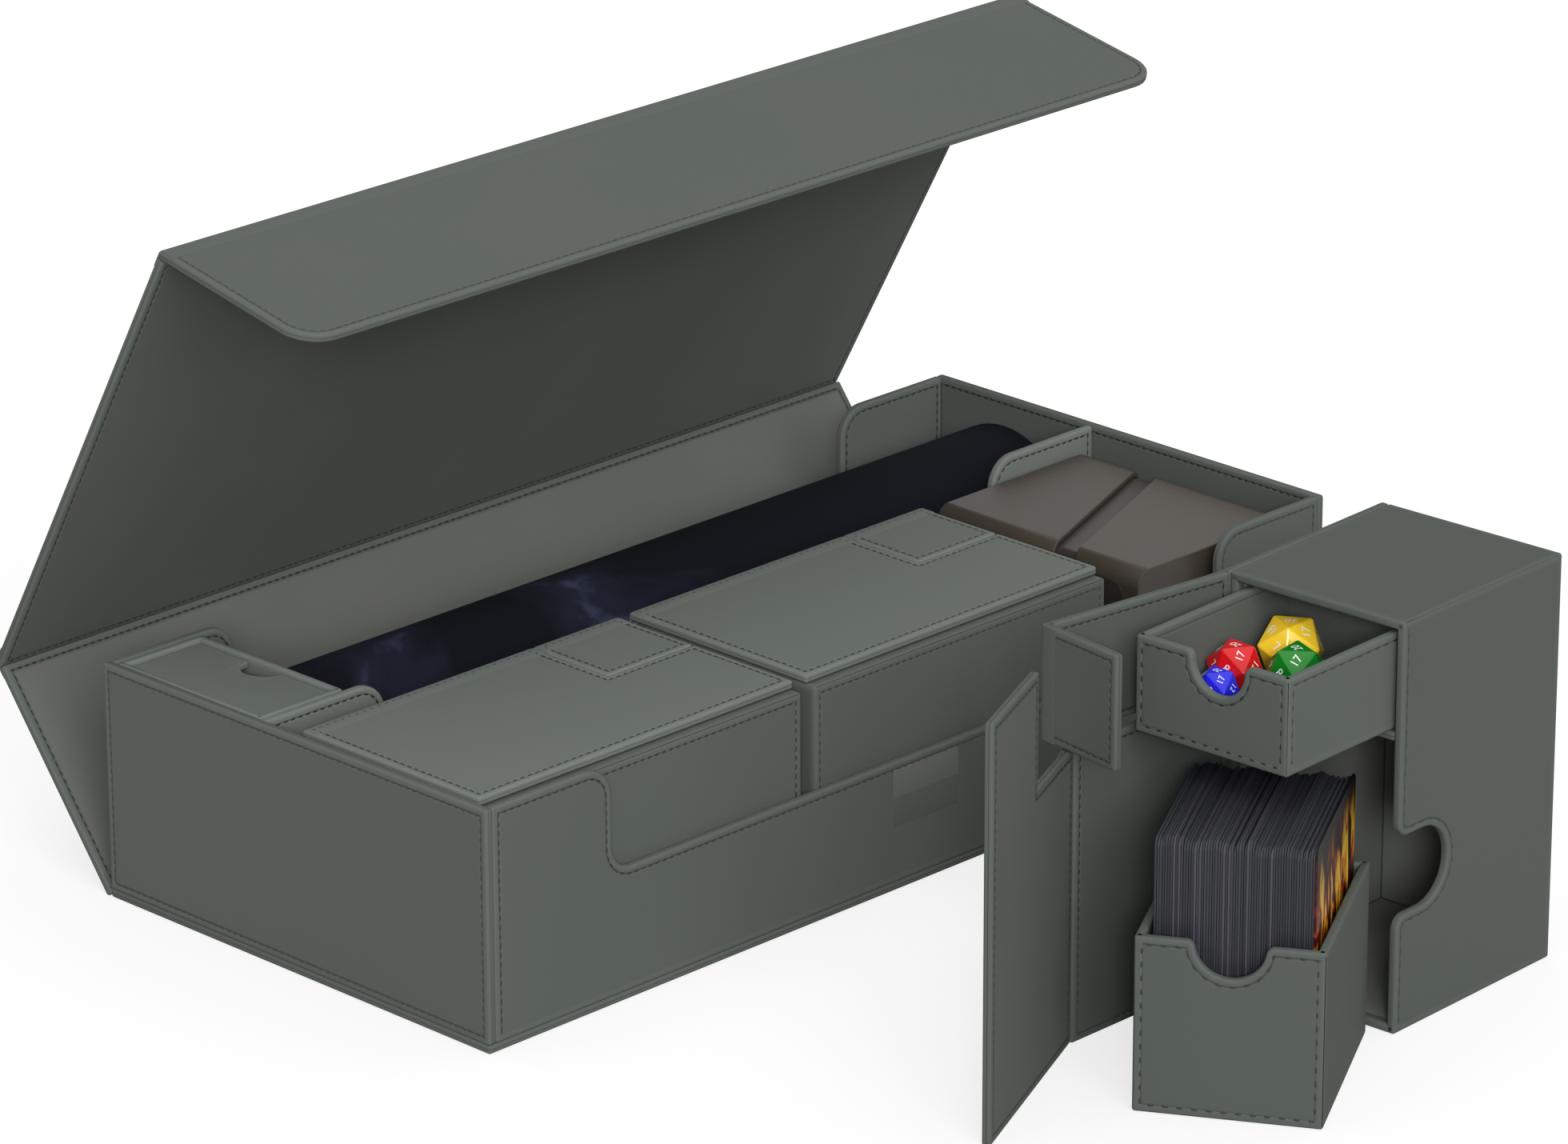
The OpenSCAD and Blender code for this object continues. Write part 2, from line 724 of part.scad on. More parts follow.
module picture_card() {
    color("#b8741c") at_card_tray() translate([
        tray_d - tray_wall_t - card_w - fit_gap, tray_wall_t + deck_side_gap, tray_wall_t
    ]) cube([card_w, card_t, card_h]);
}

// A regular solid of twenty triangles, lying on one of them, its centre at the origin
module twenty_sided(r, turn) {
    g = (1 + sqrt(5)) / 2;
    s = r / sqrt(1 + g * g);
    points = [
        [0, 1, g], [0, 1, -g], [0, -1, g], [0, -1, -g], [1, g, 0], [1, -g, 0], [-1, g, 0], [-1, -g, 0],
        [g, 0, 1], [g, 0, -1], [-g, 0, 1], [-g, 0, -1]
    ];
    rotate([0, 0, turn]) rotate([0, -acos(1 / sqrt(3)), 0]) rotate([0, 0, -45]) hull() polyhedron(
        s * points, [
            [0, 8, 2], [0, 2, 10], [0, 10, 6], [0, 6, 4], [0, 4, 8], [3, 9, 1], [3, 1, 11], [3, 11, 7],
            [3, 7, 5], [3, 5, 9], [8, 5, 2], [2, 7, 10], [10, 11, 6], [6, 1, 4], [4, 9, 8], [9, 5, 8],
            [5, 7, 2], [7, 11, 10], [11, 1, 6], [1, 9, 4]
        ]);
}

module die(r, shares, turn, shade) {
    color(shade) at_open_case() at_drawer(drawer_out) translate([
        tray_wall_t + drawer_inner_d * shares[0], tray_wall_t + drawer_inner_w * shares[1],
        drawer_floor_t + r * inradius_share
    ]) twenty_sided(r, turn);
}

base_cover_panel();
floor_board();
end_wall(0);  // left_end_wall
end_wall(box_len - wall_t);  // right_end_wall
front_wall();
back_wall();
divider_wall();
bay_lining(wall_t, front_bay_d);  // front_bay_lining
bay_lining(rear_bay_y, rear_bay_d);  // rear_bay_lining
label_patch();
closing_patch();
wall_magnets();
cover_back_panel();
cover_back_lining();
cover_lid_panel();
cover_lid_lining();
cover_flap_panel();
cover_flap_lining();
flap_magnets();
accessory_tray();
accessory_lid();
playmat_roll();
deckbox_half(1);  // deckbox_base
deckbox_half(-1);  // deckbox_lid
deckbox_liner();
deckbox_cards();
at_laid_case(0) case_shell();  // left_case_shell
at_laid_case(0) case_shelf();  // left_case_shelf
at_laid_case(0) case_side_board();  // left_case_side_board
at_laid_case(0) at_door(0) case_card_door();  // left_case_card_door
at_laid_case(0) at_door(0) case_drawer_door();  // left_case_drawer_door
at_laid_case(0) at_door(0) at_side_flap(90) case_side_flap();  // left_case_side_flap
at_laid_case(0) at_door(0) at_side_flap(90) case_small_flap();  // left_case_small_flap
at_laid_case(0) stored_tray();  // left_case_card_tray
at_laid_case(0) stored_drawer();  // left_case_dice_drawer
at_laid_case(1) case_shell();  // right_case_shell
at_laid_case(1) case_shelf();  // right_case_shelf
at_laid_case(1) case_side_board();  // right_case_side_board
at_laid_case(1) at_door(0) case_card_door();  // right_case_card_door
at_laid_case(1) at_door(0) case_drawer_door();  // right_case_drawer_door
at_laid_case(1) at_door(0) at_side_flap(90) case_side_flap();  // right_case_side_flap
at_laid_case(1) at_door(0) at_side_flap(90) case_small_flap();  // right_case_small_flap
at_laid_case(1) stored_tray();  // right_case_card_tray
at_laid_case(1) stored_drawer();  // right_case_dice_drawer
at_open_case() case_shell();  // open_case_shell
at_open_case() case_shelf();  // open_case_shelf
at_open_case() case_side_board();  // open_case_side_board
at_open_case() at_door(card_door_angle) case_card_door();  // open_case_card_door
at_open_case() at_door(drawer_door_angle) case_drawer_door();  // open_case_drawer_door
at_open_case() at_door(card_door_angle) at_side_flap(side_flap_turn) case_side_flap();  // open_case_side_flap
at_open_case() at_door(drawer_door_angle) at_side_flap(small_flap_turn) case_small_flap();  // open_case_small_flap
color(leather_side) at_open_case() at_drawer(drawer_out) drawer_shape();  // dice_drawer
color(leather_side) at_card_tray() tray_shape();  // card_tray
card_deck();
picture_card();
die(red_die_r, red_place_shares, red_turn, "red");  // red_die
die(blue_die_r, blue_place_shares, blue_turn, "blue");  // blue_die
die(green_die_r, green_place_shares, green_turn, "green");  // green_die
die(yellow_die_r, yellow_place_shares, yellow_turn, "gold");  // yellow_die
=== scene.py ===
# %% [markdown]
# # A card storage box with its deck cases, dressed in Blender
# The real set is made of stiff grey board, wrapped in soft leatherette and sewn along its
# edges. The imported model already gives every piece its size, place and hinge.
# This lesson puts the visible surface on each piece: wrapped edges, seams, linings, cards, dice.

import json
import math
import random

import bmesh
import bpy
from mathutils import Matrix, Vector


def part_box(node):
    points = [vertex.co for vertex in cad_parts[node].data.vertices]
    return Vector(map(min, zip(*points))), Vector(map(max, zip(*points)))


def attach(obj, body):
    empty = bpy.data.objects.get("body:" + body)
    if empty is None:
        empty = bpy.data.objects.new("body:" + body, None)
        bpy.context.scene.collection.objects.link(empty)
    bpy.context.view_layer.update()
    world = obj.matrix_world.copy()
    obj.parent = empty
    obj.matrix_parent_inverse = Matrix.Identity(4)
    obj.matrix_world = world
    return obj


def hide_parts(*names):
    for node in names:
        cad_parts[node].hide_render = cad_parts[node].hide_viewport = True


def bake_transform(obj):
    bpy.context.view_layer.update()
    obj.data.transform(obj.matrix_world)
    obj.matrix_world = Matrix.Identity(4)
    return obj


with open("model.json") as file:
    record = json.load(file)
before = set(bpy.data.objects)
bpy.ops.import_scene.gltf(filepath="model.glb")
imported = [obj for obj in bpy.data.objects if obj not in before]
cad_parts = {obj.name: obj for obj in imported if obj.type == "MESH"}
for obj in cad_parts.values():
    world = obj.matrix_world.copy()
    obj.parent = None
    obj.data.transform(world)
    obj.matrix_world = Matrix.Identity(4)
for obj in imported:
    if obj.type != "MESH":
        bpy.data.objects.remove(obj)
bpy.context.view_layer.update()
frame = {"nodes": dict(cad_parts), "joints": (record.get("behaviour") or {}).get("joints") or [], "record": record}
solids = frame["nodes"]
joints = {joint["name"]: joint for joint in frame["joints"]}
body_of = {
    node: body for body, held in frame["record"]["behaviour"]["bodies"].items() for node in held
}
mm = 0.001
X, Y, Z = Vector((1, 0, 0)), Vector((0, 1, 0)), Vector((0, 0, 1))

# %% [markdown]
# ## Colours and nodes
# Colours are picked as sRGB hex codes, the way a screen shows them, but a renderer works with
# linear light. One function converts them. Another adds a shader node with its settings and
# links. The short ones after it are steps that materials share, so that each material below
# reads as a list of what its surface is made of.


# %% Colour and node helpers
def shade(code):
    """The linear colour of an sRGB hex code."""
    parts = [int(code[i : i + 2], 16) / 255 for i in (1, 3, 5)]
    return (*[p / 12.92 if p <= 0.04045 else ((p + 0.055) / 1.055) ** 2.4 for p in parts], 1.0)


def grey(level):
    """A grey of that linear level."""
    return (level, level, level, 1.0)


def add_node(tree, kind, sockets=(), **settings):
    """Adds a shader node. sockets gives an input either a value or another node's output."""
    made = tree.nodes.new("ShaderNode" + kind)
    for name, value in settings.items():
        setattr(made, name, value)
    for key, value in dict(sockets).items():
        if isinstance(value, bpy.types.NodeSocket):
            tree.links.new(value, made.inputs[key])
        else:
            made.inputs[key].default_value = value
    return made


def new_material(name):
    """An empty material and its node tree."""
    made = bpy.data.materials.new(name)
    made.use_nodes = True
    made.node_tree.nodes.clear()
    return made, made.node_tree


def mixed(tree, share, one, other):
    """A colour between two others by a share. Each is a hex code or a node's output."""
    one, other = (shade(tone) if isinstance(tone, str) else tone for tone in (one, other))
    return add_node(tree, "Mix", {0: share, 6: one, 7: other}, data_type="RGBA").outputs[2]


def noise(tree, place, scale, detail=2.0, twist=0.0):
    """Soft noise between 0 and 1."""
    sockets = {"Vector": place, "Scale": scale, "Detail": detail, "Distortion": twist}
    return add_node(tree, "TexNoise", sockets).outputs["Fac"]


def remapped(tree, value, start, end, low=0.0, high=1.0):
    """The value's way from start to end, as a way from low to high."""
    sockets = {"Value": value, "From Min": start, "From Max": end, "To Min": low, "To Max": high}
    return add_node(tree, "MapRange", sockets).outputs[0]


def ramped(tree, value, *stops):
    """A colour for each value, from stops that are a position and a hex code."""
    ramp = add_node(tree, "ValToRGB", {"Fac": value})
    elements = ramp.color_ramp.elements
    for element, (position, code) in zip(elements, (stops[0], stops[-1])):
        element.position, element.color = position, shade(code)
    for position, code in stops[1:-1]:
        elements.new(position).color = shade(code)
    return ramp.outputs["Color"]


def relief(tree, height, strength, depth):
    """The tilt that a fine relief gives the surface."""
    sockets = {"Height": height, "Strength": strength, "Distance": depth}
    return add_node(tree, "Bump", sockets).outputs["Normal"]


def finish_with(tree, colour, roughness, ior, others=()):
    """Ends a material with its surface."""
    sockets = {"Base Color": colour, "Roughness": roughness, "IOR": ior, **dict(others)}
    surface = add_node(tree, "BsdfPrincipled", sockets)
    add_node(tree, "OutputMaterial", {"Surface": surface.outputs["BSDF"]})


print("mid grey", [round(c, 3) for c in shade("#808080")])

# %% [markdown]
# ## Leatherette
# Leatherette is a polyurethane film on cloth. Its grain is pressed in with a roller, so it is
# shallow and even, and the satin film scatters the light softly. Wrapped edges get a painted
# highlight, and the fine groove that the seam presses beside them gets painted shade. The mesh
# carries both as attributes, "rim" and "seam", so the material can tint them exactly.


# %% Leatherette material
GRAIN = 1.5 * mm  # real grain is about 0.5 mm, drawn coarser so that it shows at all
GRAIN_DEEP = 0.1 * mm
CLOUD_SIZE = 110 * mm


def leatherette(name, base, cloud, rim, seam):
    """Rolled polyurethane leatherette, with a painted highlight on wrapped rims and painted shade in seams."""
    made, tree = new_material(name)
    place = add_node(tree, "TexCoord").outputs["Object"]
    patches = remapped(tree, noise(tree, place, 1 / CLOUD_SIZE), 0.35, 0.65)
    colour = mixed(tree, patches, base, cloud)
    # rim mixes in a painted highlight, seam mixes in painted shade
    for label, tone in (("rim", rim), ("seam", seam)):
        share = add_node(tree, "Attribute", attribute_name=label).outputs["Fac"]
        colour = mixed(tree, share, colour, tone)
    cells = add_node(tree, "TexVoronoi", {"Vector": place, "Scale": 1 / GRAIN})
    grain = relief(tree, cells.outputs["Distance"], 0.16, GRAIN_DEEP)
    finish_with(tree, colour, 0.7, 1.5, {"Specular IOR Level": 0.02, "Normal": grain})
    return made


# Colours: base, cloud, rim (a painted highlight) and seam (painted shade)
leather = leatherette("polyurethane_leatherette", "#5c625e", "#5e635e", "#616762", "#4a4f4b")
# Copies of the same leatherette: a paler one that paints light, a darker one that paints shade
lit_leather_copy = leatherette("leatherette_painted_light_copy", "#6f7671", "#717670", "#747b76", "#596059")
shaded_leather_copy = leatherette("leatherette_painted_shade_copy", "#565c57", "#585d58", "#5c625d", "#464b47")


def skin_of(node):
    """The leatherette of a piece: a darker copy as painted shade on the loose case and card tray, a paler copy as
    painted light on the laid cases' flaps, accessory pieces and divider.
    """
    if node.startswith(("open_case", "card_tray")):
        return shaded_leather_copy
    if node.endswith("_flap") or node.startswith(("accessory", "divider")):
        return lit_leather_copy
    return leather


print("made", leather.name, lit_leather_copy.name, shaded_leather_copy.name)

# %% [markdown]
# ## Microfibre, thread and the other finishes
# The linings are brushed microfibre: a short nap that looks dull and a little paler at a
# grazing angle, which the sheen of the shader gives. The thread is dark, waxed polyester.
# Small parts share plain finishes: steel for the magnets, smoky polypropylene for the deck box.


# %% Microfibre, thread and steel
def microfibre(name, base, cloud):
    """Brushed microfibre lining: dull, with a soft pale nap."""
    made, tree = new_material(name)
    place = add_node(tree, "TexCoord").outputs["Object"]
    colour = mixed(tree, noise(tree, place, 1 / (60 * mm), 5.0), base, cloud)
    nap = relief(tree, noise(tree, place, 1 / (1.2 * mm)), 0.25, 0.15 * mm)
    sheen = {"Specular IOR Level": 0.1, "Sheen Weight": 0.03, "Sheen Roughness": 0.5}
    finish_with(tree, colour, 0.95, 1.45, {**sheen, "Normal": nap})
    return made


def even_finish(name, base, cloud, roughness, size, others=(), ior=1.5, detail=3.0):
    """A smooth moulded or rolled surface with a faint change of tone across it."""
    made, tree = new_material(name)
    place = add_node(tree, "TexCoord").outputs["Object"]
    colour = mixed(tree, noise(tree, place, 1 / size, detail), base, cloud)
    finish_with(tree, colour, roughness, ior, others)
    return made


# The dark and light tones are one microfibre: the dark partly painted shade, the light partly painted light
dark_lining = microfibre("dark_brushed_microfibre", "#535754", "#5f625e")
light_lining = microfibre("light_brushed_microfibre", "#646762", "#6f706b")
# A pale microfibre for the bays, paler still as painted light against the shade inside them
bay_lining_painted_light = microfibre("brushed_microfibre_painted_light", "#777a75", "#82847e")
# Waxed polyester thread: round, slightly glossy, darker than the leatherette
thread = even_finish("waxed_polyester_thread", "#1e201e", "#262826", 0.6, 3 * mm)
# Nickel-plated steel: a clean metal with a faint change of tone
steel = even_finish("nickel_plated_steel", "#b9bab8", "#c8c9c6", 0.3, 4 * mm, {"Metallic": 1.0})
print("made", dark_lining.name, light_lining.name, bay_lining_painted_light.name, thread.name, steel.name)

# %% [markdown]
# ## Outlines from the frame
# Every board is a flat sheet with a closed outline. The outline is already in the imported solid,
# as the border of the flat face that lies furthest in one direction. Reading it there means
# that cut-outs and round corners always agree with the solid, whatever size it has.


# %% Read an outline from a solid
MICRON = 1e-6
STRAIGHT = 0.002  # sine of the largest turn that still counts as a straight line


def sides_of(loop):
    """Each point of a closed loop with the next one."""
    return list(zip(loop, loop[1:] + loop[:1]))


def loops_of(node, direction):
    """Border loops of the node's flat face that lies furthest in that direction."""
    mesh = solids[node].data
    far = max(vertex.co.dot(direction) for vertex in mesh.vertices)
    steps = {}
    for face in mesh.polygons:
        spots = [mesh.vertices[i].co for i in face.vertices]
        if all(far - spot.dot(direction) < 3 * MICRON for spot in spots):
            keys = [tuple(round(x / MICRON) for x in spot) for spot in spots]
            steps.update(dict.fromkeys(sides_of(keys)))
    onward = {a: b for a, b in steps if (b, a) not in steps}
    loops = []
    while onward:
        spot, loop = next(iter(onward)), []
        while spot in onward:
            loop.append(Vector(spot) * MICRON)
            spot = onward.pop(spot)
        loops.append(loop)
    return loops


def outline_of(node, direction):
    """The longest border loop, without points that lie on a straight edge."""
    loop = max(
        loops_of(node, direction),
        key=lambda spots: sum((b - a).length for a, b in sides_of(spots)),
    )
    kept = []
    for before, (spot, after) in zip(loop[-1:] + loop[:-1], sides_of(loop)):
        if (spot - before).normalized().cross((after - spot).normalized()).length > STRAIGHT:
            kept.append(spot)
    return kept


def rectangle(origin, along, up, sides, heights):
    """The corners at origin + along * side + up * height, in turn."""
    (a, b), (c, d) = sides, heights
    return [origin + along * s + up * h for s, h in ((a, c), (b, c), (b, d), (a, d))]


def extent(node, direction):
    """Lowest and highest reach of a solid along a direction."""
    reach = [vertex.co.dot(direction) for vertex in solids[node].data.vertices]
    return min(reach), max(reach)


def width_of(node, direction):
    """How far a solid reaches along a direction."""
    low, high = extent(node, direction)
    return high - low


def centre_of(node):
    """The middle of a solid's box."""
    low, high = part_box(node)
    return (low + high) / 2


def broad_normal(node, towards):
    """The direction square to the node's largest flat face, on the side given."""
    areas, normals = {}, {}
    for face in solids[node].data.polygons:
        if face.normal.dot(towards) > 0.3 * towards.length:
            key = tuple(round(x, 3) for x in face.normal)
            areas[key] = areas.get(key, 0) + face.area
            normals.setdefault(key, face.normal.copy())
    return normals[max(areas, key=areas.get)]


print("front wall outline:", len(outline_of("front_wall", -Y)), "points")

# %% [markdown]
# ## Wrapped and sewn boards
# A wrapped board has soft edges, because the leatherette bends round them. About 2.5 mm in from
# the edge a machine seam presses a groove. The builder below copies that section: it repeats
# the outline as rings, each set a little further in or deeper, and joins ring to ring. That
# keeps the edges clean where a bevel tool would stumble over small arcs.

# %% The section of a board
EDGE_R = 0.8 * mm
CORNER_R = 0.9 * mm
CORNER_TURN = 0.7  # radians; an outline's corners that turn further than this are rounded
CORNER_STEPS = 3
SEAM_IN = 2.5 * mm
SEAM_FADE = 4 * mm
GROOVE_DEEP = 0.26 * mm
GROOVE_HALF = 0.45 * mm
WRAP_LINE = 0.18 * mm


def always(middle, outward):
    """Sews every edge."""
    return True


def never(middle, outward):
    """Sews no edge."""
    return False


def edged(loop, normal, sewn=always, corner_r=CORNER_R):
    """The outline with soft corners, and for each point whether a seam runs past it."""
    flags = [sewn((a + b) / 2, (b - a).normalized().cross(normal)) for a, b in sides_of(loop)]
    spots = []
    for i, (spot, after) in enumerate(sides_of(loop)):
        come, go = (spot - loop[i - 1]).normalized(), (after - spot).normalized()
        was, will = flags[i - 1], flags[i]
        turn = math.atan2(come.cross(go).dot(normal), come.dot(go))
        if will and not was:
            spots.append((spot - come * SEAM_FADE, False))
        if turn < CORNER_TURN:
            spots.append((spot, was or will))
        else:
            inward = normal.cross(come)
            middle = spot - come * corner_r * math.tan(turn / 2) + inward * corner_r
            for k in range(CORNER_STEPS + 1):
                a = turn * k / CORNER_STEPS
                way = math.cos(a) * inward - math.sin(a) * come
                spots.append((middle - way * corner_r, was or will))
        if was and not will:
            spots.append((spot + go * SEAM_FADE, False))
    return [spot for spot, _ in spots], [flag for _, flag in spots]


def set_in(spots, normal, inset):
    """The outline moved inwards. Edges that shrink to nothing collapse to one point."""
    ways = [(b - a).normalized() for a, b in sides_of(spots)]
    starts = [spot + normal.cross(way) * inset for spot, way in zip(spots, ways)]
    alive = list(range(len(spots)))

    def meeting(i, j):
        """Where the moved edges i and j meet."""
        across = normal.cross(ways[j])
        slope = ways[i].dot(across)
        if abs(slope) < STRAIGHT:
            return starts[j]
        return starts[i] + ways[i] * ((starts[j] - starts[i]).dot(across) / slope)

    while len(alive) > 3:
        corners = [meeting(alive[k - 1], alive[k]) for k in range(len(alive))]
        left = [(b - a).dot(ways[i]) for (a, b), i in zip(sides_of(corners), alive)]
        shortest = min(range(len(alive)), key=left.__getitem__)
        if left[shortest] > -MICRON:
            break
        alive.pop(shortest)
    corners = {i: meeting(alive[k - 1], i) for k, i in enumerate(alive)}
    placed, spot = [], corners[alive[0]]
    for i in reversed(range(len(spots))):
        spot = corners.get(i, spot)
        placed.append(spot)
    return placed[::-1]


def rings_at(*steps, rim=0):
    """Rings of (inset, depth, groove, rim, line) from their insets and depths alone."""
    return [(inset, depth, 0, rim, 0) for inset, depth in steps]


def round_section(edge, rim=1.0):
    """Quarter round from face to side."""
    angles = [math.radians(degrees) for degrees in (0, 30, 60, 90)]
    steps = [(edge * (1 - math.sin(a)), edge * (1 - math.cos(a))) for a in angles]
    return rings_at(*steps, rim=rim)


def board_section(thick, line=True):
    """The whole section: face, edge with the line where the wrapping meets, and back."""
    # seam marks painted shade in the groove; rim marks the painted highlight beside it and round the edge
    face = [
        *rings_at((SEAM_IN + 2 * GROOVE_HALF, 0), (SEAM_IN + GROOVE_HALF, 0)),
        (SEAM_IN, 0, GROOVE_DEEP, 0, 1),
        (SEAM_IN - GROOVE_HALF, 0, 0, 0.55, 0),
        *round_section(EDGE_R),
    ]
    back = [(i, thick - d, -g, r, s) for i, d, g, r, s in reversed(face)]
    if not line:
        return face + back
    half, gap = thick / 2, WRAP_LINE
    # the wrap line: painted shade in its notch, a painted highlight on either side
    middle = [(0, half - gap, 0, 0.6, 0), (gap, half, 0, 0, 1), (0, half + gap, 0, 0.6, 0)]
    return face + middle + back


print(len(board_section(3 * mm)), "rings make a board's section")


# %% Gather surfaces into one piece
SHARP_FROM = math.radians(38)


def closed_rings(count, rings):
    """The faces between rings of that many points each, then those of the two ends."""
    last = (rings - 1) * count
    faces = []
    for ring in range(0, last, count):
        for i in range(count):
            a, b = ring + i, ring + (i + 1) % count
            faces.append([a, b, b + count, a + count])
    return faces + [list(reversed(range(count))), list(range(last, last + count))]


class Work:
    """Points, faces and finishes of one dressed piece, before it becomes a mesh."""

    def __init__(self, *finishes):
        self.finishes = [finish for finish in finishes if finish]
        self.points, self.rims, self.seams, self.faces, self.kinds = [], [], [], [], []

    def add(self, points, faces, finish, rims=None, seams=None):
        """Adds a surface of one finish."""
        start = len(self.points)
        self.points += [tuple(point) for point in points]
        self.rims += rims or [0.0] * len(points)
        self.seams += seams or [0.0] * len(points)
        self.faces += [[start + i for i in face] for face in faces]
        self.kinds += [self.finishes.index(finish)] * len(faces)

    def lay(self, spots, flags, normal, section, finish):
        """Joins the outline's rings, and closes the first and the last with a flat face."""
        points, rims, seams = [], [], []
        for inset, depth, groove, rim, line in section:
            for spot, flag in zip(set_in(spots, normal, inset), flags):
                points.append(spot - normal * (depth + groove * flag))
                rims.append(float(rim))
                seams.append(float(line * flag if groove else line))
        faces = [face[::-1] for face in closed_rings(len(spots), len(section))]
        self.add(points, faces, finish, rims, seams)

    def mesh(self, name):
        """The piece's mesh, with its surfaces joined where their points meet."""
        made = bpy.data.meshes.new(name)
        made.from_pydata(self.points, [], self.faces)
        made.polygons.foreach_set("material_index", self.kinds)
        for label, values in (("rim", self.rims), ("seam", self.seams)):
            made.attributes.new(label, "FLOAT", "POINT").data.foreach_set("value", values)
        for finish in self.finishes:
            made.materials.append(finish)
        shell = bmesh.new()
        shell.from_mesh(made)
        bmesh.ops.remove_doubles(shell, verts=shell.verts, dist=2 * MICRON)
        shell.to_mesh(made)
        shell.free()
        made.shade_smooth()
        made.set_sharp_from_angle(angle=SHARP_FROM)
        made.update()
        return made


def add_object(name, data):
    """A new object in the scene."""
    made = bpy.data.objects.new(name, data)
    bpy.context.scene.collection.objects.link(made)
    return made


def put(work, name, *nodes):
    """Places a dressed piece on the body of the nodes it stands for."""
    piece = add_object(name, work.mesh(name))
    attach(piece, body_of[nodes[0]])
    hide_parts(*nodes)
    return piece


print("pieces are gathered with Work and placed with put")

# %% [markdown]
# ## Stitches
# A lockstitch shows as a row of short thread humps, each dipping into its needle hole. Every
# stitch is modelled as a small rounded bar lying in the groove. The walls of the long box have
# fine stitches; trays and drawers have coarser ones that stand further apart.

# %% Stitch rows
STITCH_W = 0.9 * mm
STITCH_H = 0.26 * mm
STITCH_SUNK = 0.12 * mm
STITCH_SIDES = 6
STITCH_FORM = ((-0.5, 0.35), (-0.3, 1), (0.3, 1), (0.5, 0.35))  # place along it, fullness
FINE = (3.2 * mm, 1.9 * mm)  # pitch and length
COARSE = (4.6 * mm, 2.0 * mm)


def add_stitch(work, spot, along, up, length):
    """One thread hump, thinner at its two ends."""
    side, points = along.cross(up), []
    for at, share in STITCH_FORM:
        for k in range(STITCH_SIDES):
            a = math.radians(360 / STITCH_SIDES * k)
            points.append(
                spot
                + along * (at * length)
                + side * (math.cos(a) * STITCH_W / 2 * share)
                + up * (math.sin(a) * STITCH_H * share)
            )
    work.add(points, closed_rings(STITCH_SIDES, len(STITCH_FORM)), thread)


def runs_of(spots, flags):
    """The stretches of the outline that are sewn, each as a list of points."""
    count = len(spots)
    if all(flags):
        return [spots + spots[:1]]
    first = flags.index(False)
    runs, run = [], []
    for k in range(first, first + count + 1):
        if flags[k % count]:
            run.append(spots[k % count])
        elif run:
            runs.append(run)
            run = []
    return [run for run in runs if len(run) > 1]


def sew(work, spots, flags, normal, depth, up, style):
    """Sews a row of stitches beside the sewn edges."""
    pitch, length = style
    seam = [spot - normal * depth for spot in set_in(spots, normal, SEAM_IN)]
    total = 0
    for run in runs_of(seam, flags):
        lengths = [(b - a).length for a, b in zip(run, run[1:])]
        count = max(1, round(sum(lengths) / pitch))
        step, piece, passed = sum(lengths) / count, 0, 0.0
        for k in range(count):
            at = (k + 0.5) * step
            while piece < len(lengths) - 1 and at > passed + lengths[piece]:
                passed += lengths[piece]
                piece += 1
            along = (run[piece + 1] - run[piece]).normalized()
            add_stitch(work, run[piece] + along * (at - passed), along, up, length)
        total += count
    return total


def add_board(work, loop, normal, thick, sewn, style=FINE, free=True, inside=None):
    """A wrapped board from its outline. A free one is sewn on both faces."""
    spots, flags = edged(loop, normal, sewn)
    work.lay(spots, flags, normal, board_section(thick, line=free), work.finishes[0])
    if inside:
        work.kinds[-1] = work.finishes.index(inside)
    count = sew(work, spots, flags, normal, STITCH_SUNK, normal, style)
    if free:
        count += sew(work, spots, flags, normal, thick - STITCH_SUNK, -normal, style)
    return spots, count


LINING_IN = 3.4 * mm
LINING_PROUD = 0.06 * mm
NAP = 0.15 * mm


def add_lining(work, spots, normal, thick, finish):
    """A microfibre lining glued on the back of a board, inside its wrapped border."""
    back = [spot - normal * (thick + LINING_PROUD) for spot in reversed(spots)]
    edge = LINING_IN
    section = rings_at((edge + 3 * NAP, 0), (edge + NAP, 0), (edge, NAP), (edge, 3 * NAP))
    work.lay(back, [False] * len(back), -normal, section, finish)


print("stitches:", [round(10 * mm / pitch, 1) for pitch, _ in (FINE, COARSE)], "per cm")

# %% [markdown]
# ## Whole boards, and the walls of the long box
# One function makes a board piece. Where the board folds, it ends in a round bead, and its
# outline in the solid stops at the fold's axis, so the outline is moved out to the bead's end.
#
# The end walls of the box cover the ends of the front and back walls, so their wrapped edge
# shows as a strip with a painted highlight at the box's corners. The front wall is sewn along
# its sides, its top and the long cut-out, and is glued, not sewn, along the bottom.


# %% Boards and box walls
ON_AXIS = 0.05 * mm


def over_bead(loop, normal, joint, thick):
    """Moves the outline's points that lie on the fold axis out to the end of the bead."""
    at, along = Vector(joint["pos_m"]), Vector(joint["axis"])
    across = normal.cross(along).normalized()
    middle = sum(loop, Vector()) / len(loop)
    if (middle - at).dot(across) > 0:
        across = -across
    return [
        spot + across * (thick / 2) if abs((spot - at).dot(across)) < ON_AXIS else spot
        for spot in loop
    ]


def dress_board(node, normal, sewn=always, joint=None, lining=None, edge_highlight=True):
    """A board with a bead at its fold, and a lining on its back, where it has them."""
    thick = width_of(node, normal)
    loop = outline_of(node, normal)
    if joint:
        loop = over_bead(loop, normal, joints[joint], thick)
    work = Work(skin_of(node), thread, lining)
    spots, count = add_board(work, loop, normal, thick, sewn)
    if lining:
        add_lining(work, spots, normal, thick, lining)
    # without it, the board's rims lose their painted highlight
    if not edge_highlight:
        work.rims = [0.0] * len(work.rims)
    put(work, node + "_wrapped", node)
    return spots, count


def upright_edges(middle, outward):
    """Every edge but the one that stands on the base."""
    return outward.z > -0.9


